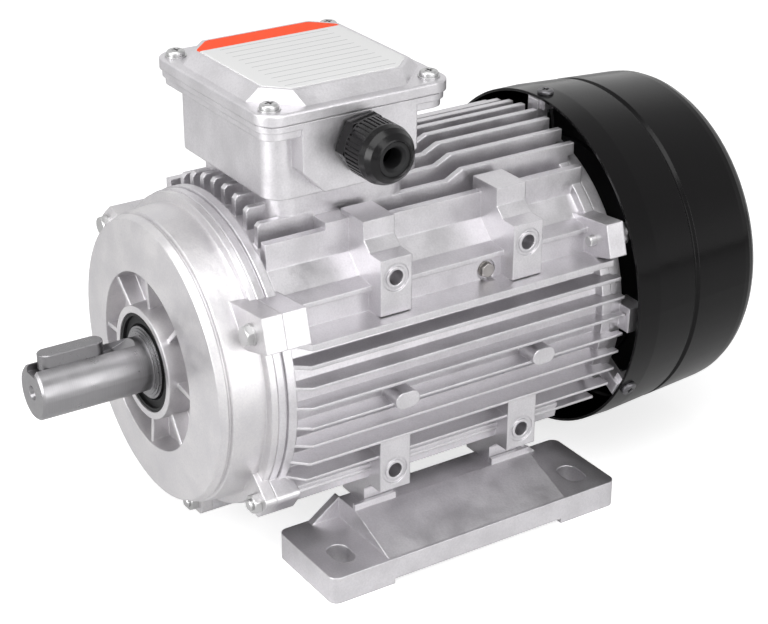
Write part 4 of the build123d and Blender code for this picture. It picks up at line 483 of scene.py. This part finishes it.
class MOTOR_OT_castings(Operator):
    """Gives the frame, shields, feet and terminal box their cast aluminium skin."""

    bl_idname = "motor.castings"
    bl_label = "Castings"

    def execute(self, context):
        finishes = context.scene.motor_finishes
        blasted = cast_skin(
            "shot_blasted_die_cast_aluminium", finishes, finishes.casting, roughness=0.36, grain_depth_mm=0.14
        )
        dress(
            [
                "stator_frame",
                "rear_end_shield",
                "right_foot",
                "left_foot",
                "terminal_box_base",
                "terminal_box_lid",
            ],
            blasted,
        )
        smooth = cast_skin(
            "tumbled_die_cast_aluminium", finishes, finishes.tumbled, roughness=0.4, grain_depth_mm=0.1
        )
        dress(["drive_end_shield"], smooth)
        return {"FINISHED"}


class MOTOR_OT_running_parts(Operator):
    """Gives the shaft, rotor, bearings, cores and windings their metals."""

    bl_idname = "motor.running_parts"
    bl_label = "Running parts"

    def execute(self, context):
        finishes = context.scene.motor_finishes
        turned = turned_steel(
            "turned_carbon_steel", finishes.shaft_steel, roughness=0.3, ring_mm=0.45, depth_mm=0.02
        )
        dress(["shaft"], turned)
        drawn = small_metal("drawn_key_steel", finishes.key_steel, roughness=0.3)
        dress(["shaft_key", "shaft_collar"], drawn)
        bright = small_metal("ground_bearing_steel", finishes.bright_steel, roughness=0.22)
        dress(
            [
                "front_bearing_outer_race",
                "front_bearing_inner_race",
                "front_bearing_balls",
                "front_bearing_cage",
                "front_bearing_shields",
                "rear_bearing_outer_race",
                "rear_bearing_inner_race",
                "rear_bearing_balls",
                "rear_bearing_cage",
                "rear_bearing_shields",
                "preload_wave_washer",
                "fan_circlip",
            ],
            bright,
        )
        dress(["stator_core", "rotor_core"], stacked_sheets("silicon_steel_sheets", finishes.sheet_steel))
        dress(["rotor_cage"], small_metal("cast_rotor_aluminium", finishes.casting, roughness=0.4))
        dress(["stator_windings"], enamelled_copper("enamelled_copper_wire", finishes.copper))
        return {"FINISHED"}


class MOTOR_OT_fasteners(Operator):
    """Gives the bolts, screws, washers and terminals their plated, blackened or brass finish."""

    bl_idname = "motor.fasteners"
    bl_label = "Fasteners"

    def execute(self, context):
        finishes = context.scene.motor_finishes
        dress(
            [
                "foot_bolts",
                "foot_bolt_washers",
                "drive_end_bolts",
                "drive_end_studs",
                "drive_end_nuts",
                "rear_end_bolts",
                "lid_screws",
                "lid_screw_washers",
                "terminal_box_screws",
            ],
            small_metal("zinc_plated_steel", finishes.plating, roughness=0.32),
        )
        blackened = small_metal("blackened_steel", finishes.blackening, roughness=0.35)
        dress(["fan_cover_screws"], blackened)
        dress(
            ["terminal_studs", "terminal_nuts", "terminal_links", "box_earth_screw"],
            small_metal("turned_brass", finishes.brass, roughness=0.3),
        )
        dull = small_metal("dull_plated_steel", finishes.dull_plating, roughness=0.35)
        dress(["frame_earth_screw"], dull)
        return {"FINISHED"}


class MOTOR_OT_fan_and_cover(Operator):
    """Gives the fan and its pressed cover their black finishes."""

    bl_idname = "motor.fan_and_cover"
    bl_label = "Fan and cover"

    def execute(self, context):
        finishes = context.scene.motor_finishes
        dress(["fan_cover"], black_coating("gloss_black_powder_coat", finishes.cover_paint))
        plastic = moulded("black_polypropylene", finishes.fan_plastic, roughness=0.45, grain_mm=0.6)
        dress(["cooling_fan"], plastic)
        return {"FINISHED"}


class MOTOR_OT_electrics(Operator):
    """Gives the gland, gaskets, seals, leads and terminal block their plastics and rubbers."""

    bl_idname = "motor.electrics"
    bl_label = "Electrics"

    def execute(self, context):
        finishes = context.scene.motor_finishes
        nylon = moulded("black_moulded_nylon", finishes.gland_plastic, roughness=0.22, grain_mm=0.5)
        dress(["gland_body", "gland_cap_nut", "gland_locknut"], nylon)
        rubber = moulded("black_nitrile_rubber", finishes.rubber, roughness=0.6, grain_mm=0.4)
        dress(["gland_seal", "gland_washer", "terminal_box_gasket", "lid_gasket", "shaft_seal"], rubber)
        sleeves = moulded("lead_sleeving", finishes.sleeving, roughness=0.5, grain_mm=0.5)
        dress(["winding_leads"], sleeves)
        resin = moulded("brown_phenolic", finishes.phenolic, roughness=0.4, grain_mm=0.6)
        dress(["terminal_block"], resin)
        return {"FINISHED"}


def octagon_reach(angle, half_x, half_y, cut):
    """Distance from the centre to the edge of a rectangle with cut corners, at each angle.

    It is the least of three reaches: to the side at half_x, to the side at half_y, and to the
    slanted line where the two distances add up to half_x + half_y - cut.
    """
    x = np.abs(np.cos(angle)) + TINY
    y = np.abs(np.sin(angle)) + TINY
    return np.minimum(np.minimum(half_x / x, half_y / y), (half_x + half_y - cut) / (x + y))


def film_mesh(low, high):
    """The points and faces of the label film, in rings from its middle out to its edge."""
    centre = (low + high) / 2
    half = (high - low) / 2
    angle = np.linspace(0.0, 2 * np.pi, LABEL_TURNS, endpoint=False)
    reach = octagon_reach(angle, half[0], half[1], LABEL_CORNER_CUT)
    x = centre[0] + np.outer(RING_SHARES, np.cos(angle) * reach)
    y = centre[1] + np.outer(RING_SHARES, np.sin(angle) * reach)
    z = low[2] + np.outer(RING_LIFTS, np.full(LABEL_TURNS, high[2] - low[2]))
    points = np.stack([x, y, z], axis=2).reshape(-1, 3)
    ring, turn = np.meshgrid(np.arange(len(RING_SHARES) - 1), np.arange(LABEL_TURNS), indexing="ij")
    inner = ring * LABEL_TURNS
    outer = inner + LABEL_TURNS
    after = (turn + 1) % LABEL_TURNS
    corners = [inner + turn, outer + turn, outer + after, inner + after]
    return points, np.stack(corners, axis=2).reshape(-1, 4)


class MOTOR_OT_rating_label(Operator):
    """Lays the printed film on the lid, with its edge turned down to the metal."""

    bl_idname = "motor.rating_label"
    bl_label = "Rating label"

    def execute(self, context):
        finishes = context.scene.motor_finishes
        low, high = (np.array(corner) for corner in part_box("rating_label"))
        points, faces = film_mesh(low, high)
        piece = surface("label_film", points, faces, label_material(finishes), "stator")
        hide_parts("rating_label")
        return {"FINISHED"}


def camera_turn():
    """The camera's rotation from its azimuth, elevation and roll."""
    azimuth = math.radians(CAMERA_AZIMUTH)
    elevation = math.radians(CAMERA_ELEVATION)
    roll = math.radians(CAMERA_ROLL)
    back = Vector((
        math.sin(azimuth) * math.cos(elevation),
        -math.cos(azimuth) * math.cos(elevation),
        math.sin(elevation),
    ))
    side = Vector((math.cos(azimuth), math.sin(azimuth), 0.0))
    above = back.cross(side)
    right = side * math.cos(roll) + above * math.sin(roll)
    up = above * math.cos(roll) - side * math.sin(roll)
    return Matrix((right, up, back)).transposed()


def add_camera(scene):
    """The camera that took the photograph, as the scene's own."""
    lens = bpy.data.cameras.new("photo_camera")
    lens.sensor_width = SENSOR_MM
    lens.lens = CAMERA_FOCAL_PX * SENSOR_MM / IMAGE_WIDTH
    lens.clip_start = NEAR_CLIP
    lens.clip_end = FAR_CLIP
    camera = bpy.data.objects.new("photo_camera", lens)
    scene.collection.objects.link(camera)
    camera.matrix_world = Matrix.Translation(CAMERA_PLACE) @ camera_turn().to_4x4()
    scene.camera = camera


def add_softbox(scene, name, place, size, power):
    """A square soft light that faces the motor."""
    lamp = bpy.data.lights.new(name, "AREA")
    lamp.shape = "SQUARE"
    lamp.size = size
    lamp.energy = power
    light = bpy.data.objects.new(name, lamp)
    scene.collection.objects.link(light)
    light.location = place
    light.rotation_euler = (Vector(LIGHTS_AIM) - Vector(place)).to_track_quat("-Z", "Y").to_euler()


def add_surround(scene, studio):
    """The white surround, as even light at the sky's strength.

    The camera and metal see it at full strength. It is plain white to the camera, and to all other
    rays it fades to the zenith's grey overhead, so that metal has something darker to show.
    """
    world = bpy.data.worlds.new("studio_surround")
    world.use_nodes = True
    tree = world.node_tree
    tree.nodes.clear()
    path = add_node(tree, "LightPath").outputs
    seen = maths(tree, "MAXIMUM", path["Is Camera Ray"], path["Is Glossy Ray"])
    shown = maths(tree, "MAXIMUM", seen, path["Is Transmission Ray"])
    strength = add_node(tree, "MapRange", {"Value": shown}, {"To Min": studio.sky, "To Max": 1.0})
    ray = add_node(tree, "SeparateXYZ", {"Vector": add_node(tree, "TexCoord").outputs["Generated"]})
    rise = maths(tree, "MULTIPLY_ADD", ray.outputs["X"], SKY_LEAN, ray.outputs["Z"])
    fade = add_node(
        tree, "MapRange", {"Value": rise},
        {"From Min": FADE_START, "From Max": FADE_END, "To Min": 1.0, "To Max": studio.zenith},
        interpolation_type="SMOOTHSTEP",
    )
    grey = maths(tree, "MAXIMUM", fade.outputs[0], path["Is Camera Ray"])
    tone = add_node(tree, "CombineXYZ", {axis: grey for axis in "XYZ"})
    sky = add_node(tree, "Background", {"Color": tone.outputs[0], "Strength": strength.outputs[0]})
    add_node(tree, "OutputWorld", {"Surface": sky.outputs[0]})
    scene.world = world


def floor_material(studio):
    """Matt white paper with a glow of its own.

    The camera sees the whole glow, so that the floor reads as white and still keeps the object's
    soft shadow, and metal sees a share of it. The glow lights nothing else.
    """
    material, tree = new_material("matt_white_paper")
    path = add_node(tree, "LightPath").outputs
    paper = add_node(tree, "BsdfDiffuse", values={"Color": rgba(studio.paper)})
    seen = maths(tree, "MAXIMUM", path["Is Camera Ray"], path["Is Transmission Ray"])
    shown = maths(tree, "MULTIPLY_ADD", path["Is Glossy Ray"], METAL_GLOW_SHARE, seen)
    glow = add_node(tree, "Emission", {"Strength": shown}, {"Color": rgba([FLOOR_GLOW] * 3)})
    both = add_node(tree, "AddShader", {0: paper.outputs[0], 1: glow.outputs[0]})
    return finish_material(material, tree, both)


def add_floor(scene, studio):
    """The paper floor, a hair below the feet."""
    mesh = bpy.data.meshes.new("floor")
    ends = (-FLOOR_REACH, FLOOR_REACH)
    corners = [(ends[x], ends[y], -FLOOR_DROP) for x, y in ((0, 0), (1, 0), (1, 1), (0, 1))]
    mesh.from_pydata(corners, [], [(0, 1, 2, 3)])
    floor = bpy.data.objects.new("floor", mesh)
    scene.collection.objects.link(floor)
    mesh.materials.append(floor_material(studio))


class MOTOR_OT_stage(Operator):
    """Sets the camera, the soft studio lights, the white surround and the pale floor."""

    bl_idname = "motor.stage"
    bl_label = "Stage"

    def execute(self, context):
        scene = context.scene
        studio = scene.motor_studio
        add_camera(scene)
        for name, place, size, power in SOFTBOXES:
            add_softbox(scene, name, place, size, getattr(studio, power))
        add_surround(scene, studio)
        add_floor(scene, studio)
        return {"FINISHED"}


class MOTOR_PT_sidebar(Panel):
    """Lists the steps that dress the motor, and its sizes and colours."""

    bl_idname = "MOTOR_PT_sidebar"
    bl_label = "Motor"
    bl_space_type = "VIEW_3D"
    bl_region_type = "UI"
    bl_category = "Motor"

    def draw(self, context):
        layout = self.layout
        for step in STEPS:
            layout.operator(step.bl_idname)
        for group in (context.scene.motor_finishes, context.scene.motor_studio):
            box = layout.box()
            for key in group.__annotations__:
                box.prop(group, key)


STEPS = (
    MOTOR_OT_castings,
    MOTOR_OT_running_parts,
    MOTOR_OT_fasteners,
    MOTOR_OT_fan_and_cover,
    MOTOR_OT_electrics,
    MOTOR_OT_rating_label,
    MOTOR_OT_stage,
)
CLASSES = (MotorFinishes, MotorStudio, *STEPS, MOTOR_PT_sidebar)


def register():
    """Adds the classes and the scene's two groups of properties."""
    for cls in CLASSES:
        bpy.utils.register_class(cls)
    bpy.types.Scene.motor_finishes = PointerProperty(type=MotorFinishes)
    bpy.types.Scene.motor_studio = PointerProperty(type=MotorStudio)


def unregister():
    """Takes them away again."""
    del bpy.types.Scene.motor_studio
    del bpy.types.Scene.motor_finishes
    for cls in reversed(CLASSES):
        bpy.utils.unregister_class(cls)


def main():
    """Registers the add-on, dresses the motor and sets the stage."""
    register()
    bpy.context.scene.view_settings.view_transform = "Standard"
    for step in STEPS:
        group, name = step.bl_idname.split(".")
        getattr(getattr(bpy.ops, group), name)()
    bpy.context.view_layer.update()


if __name__ == "__main__":
    main()
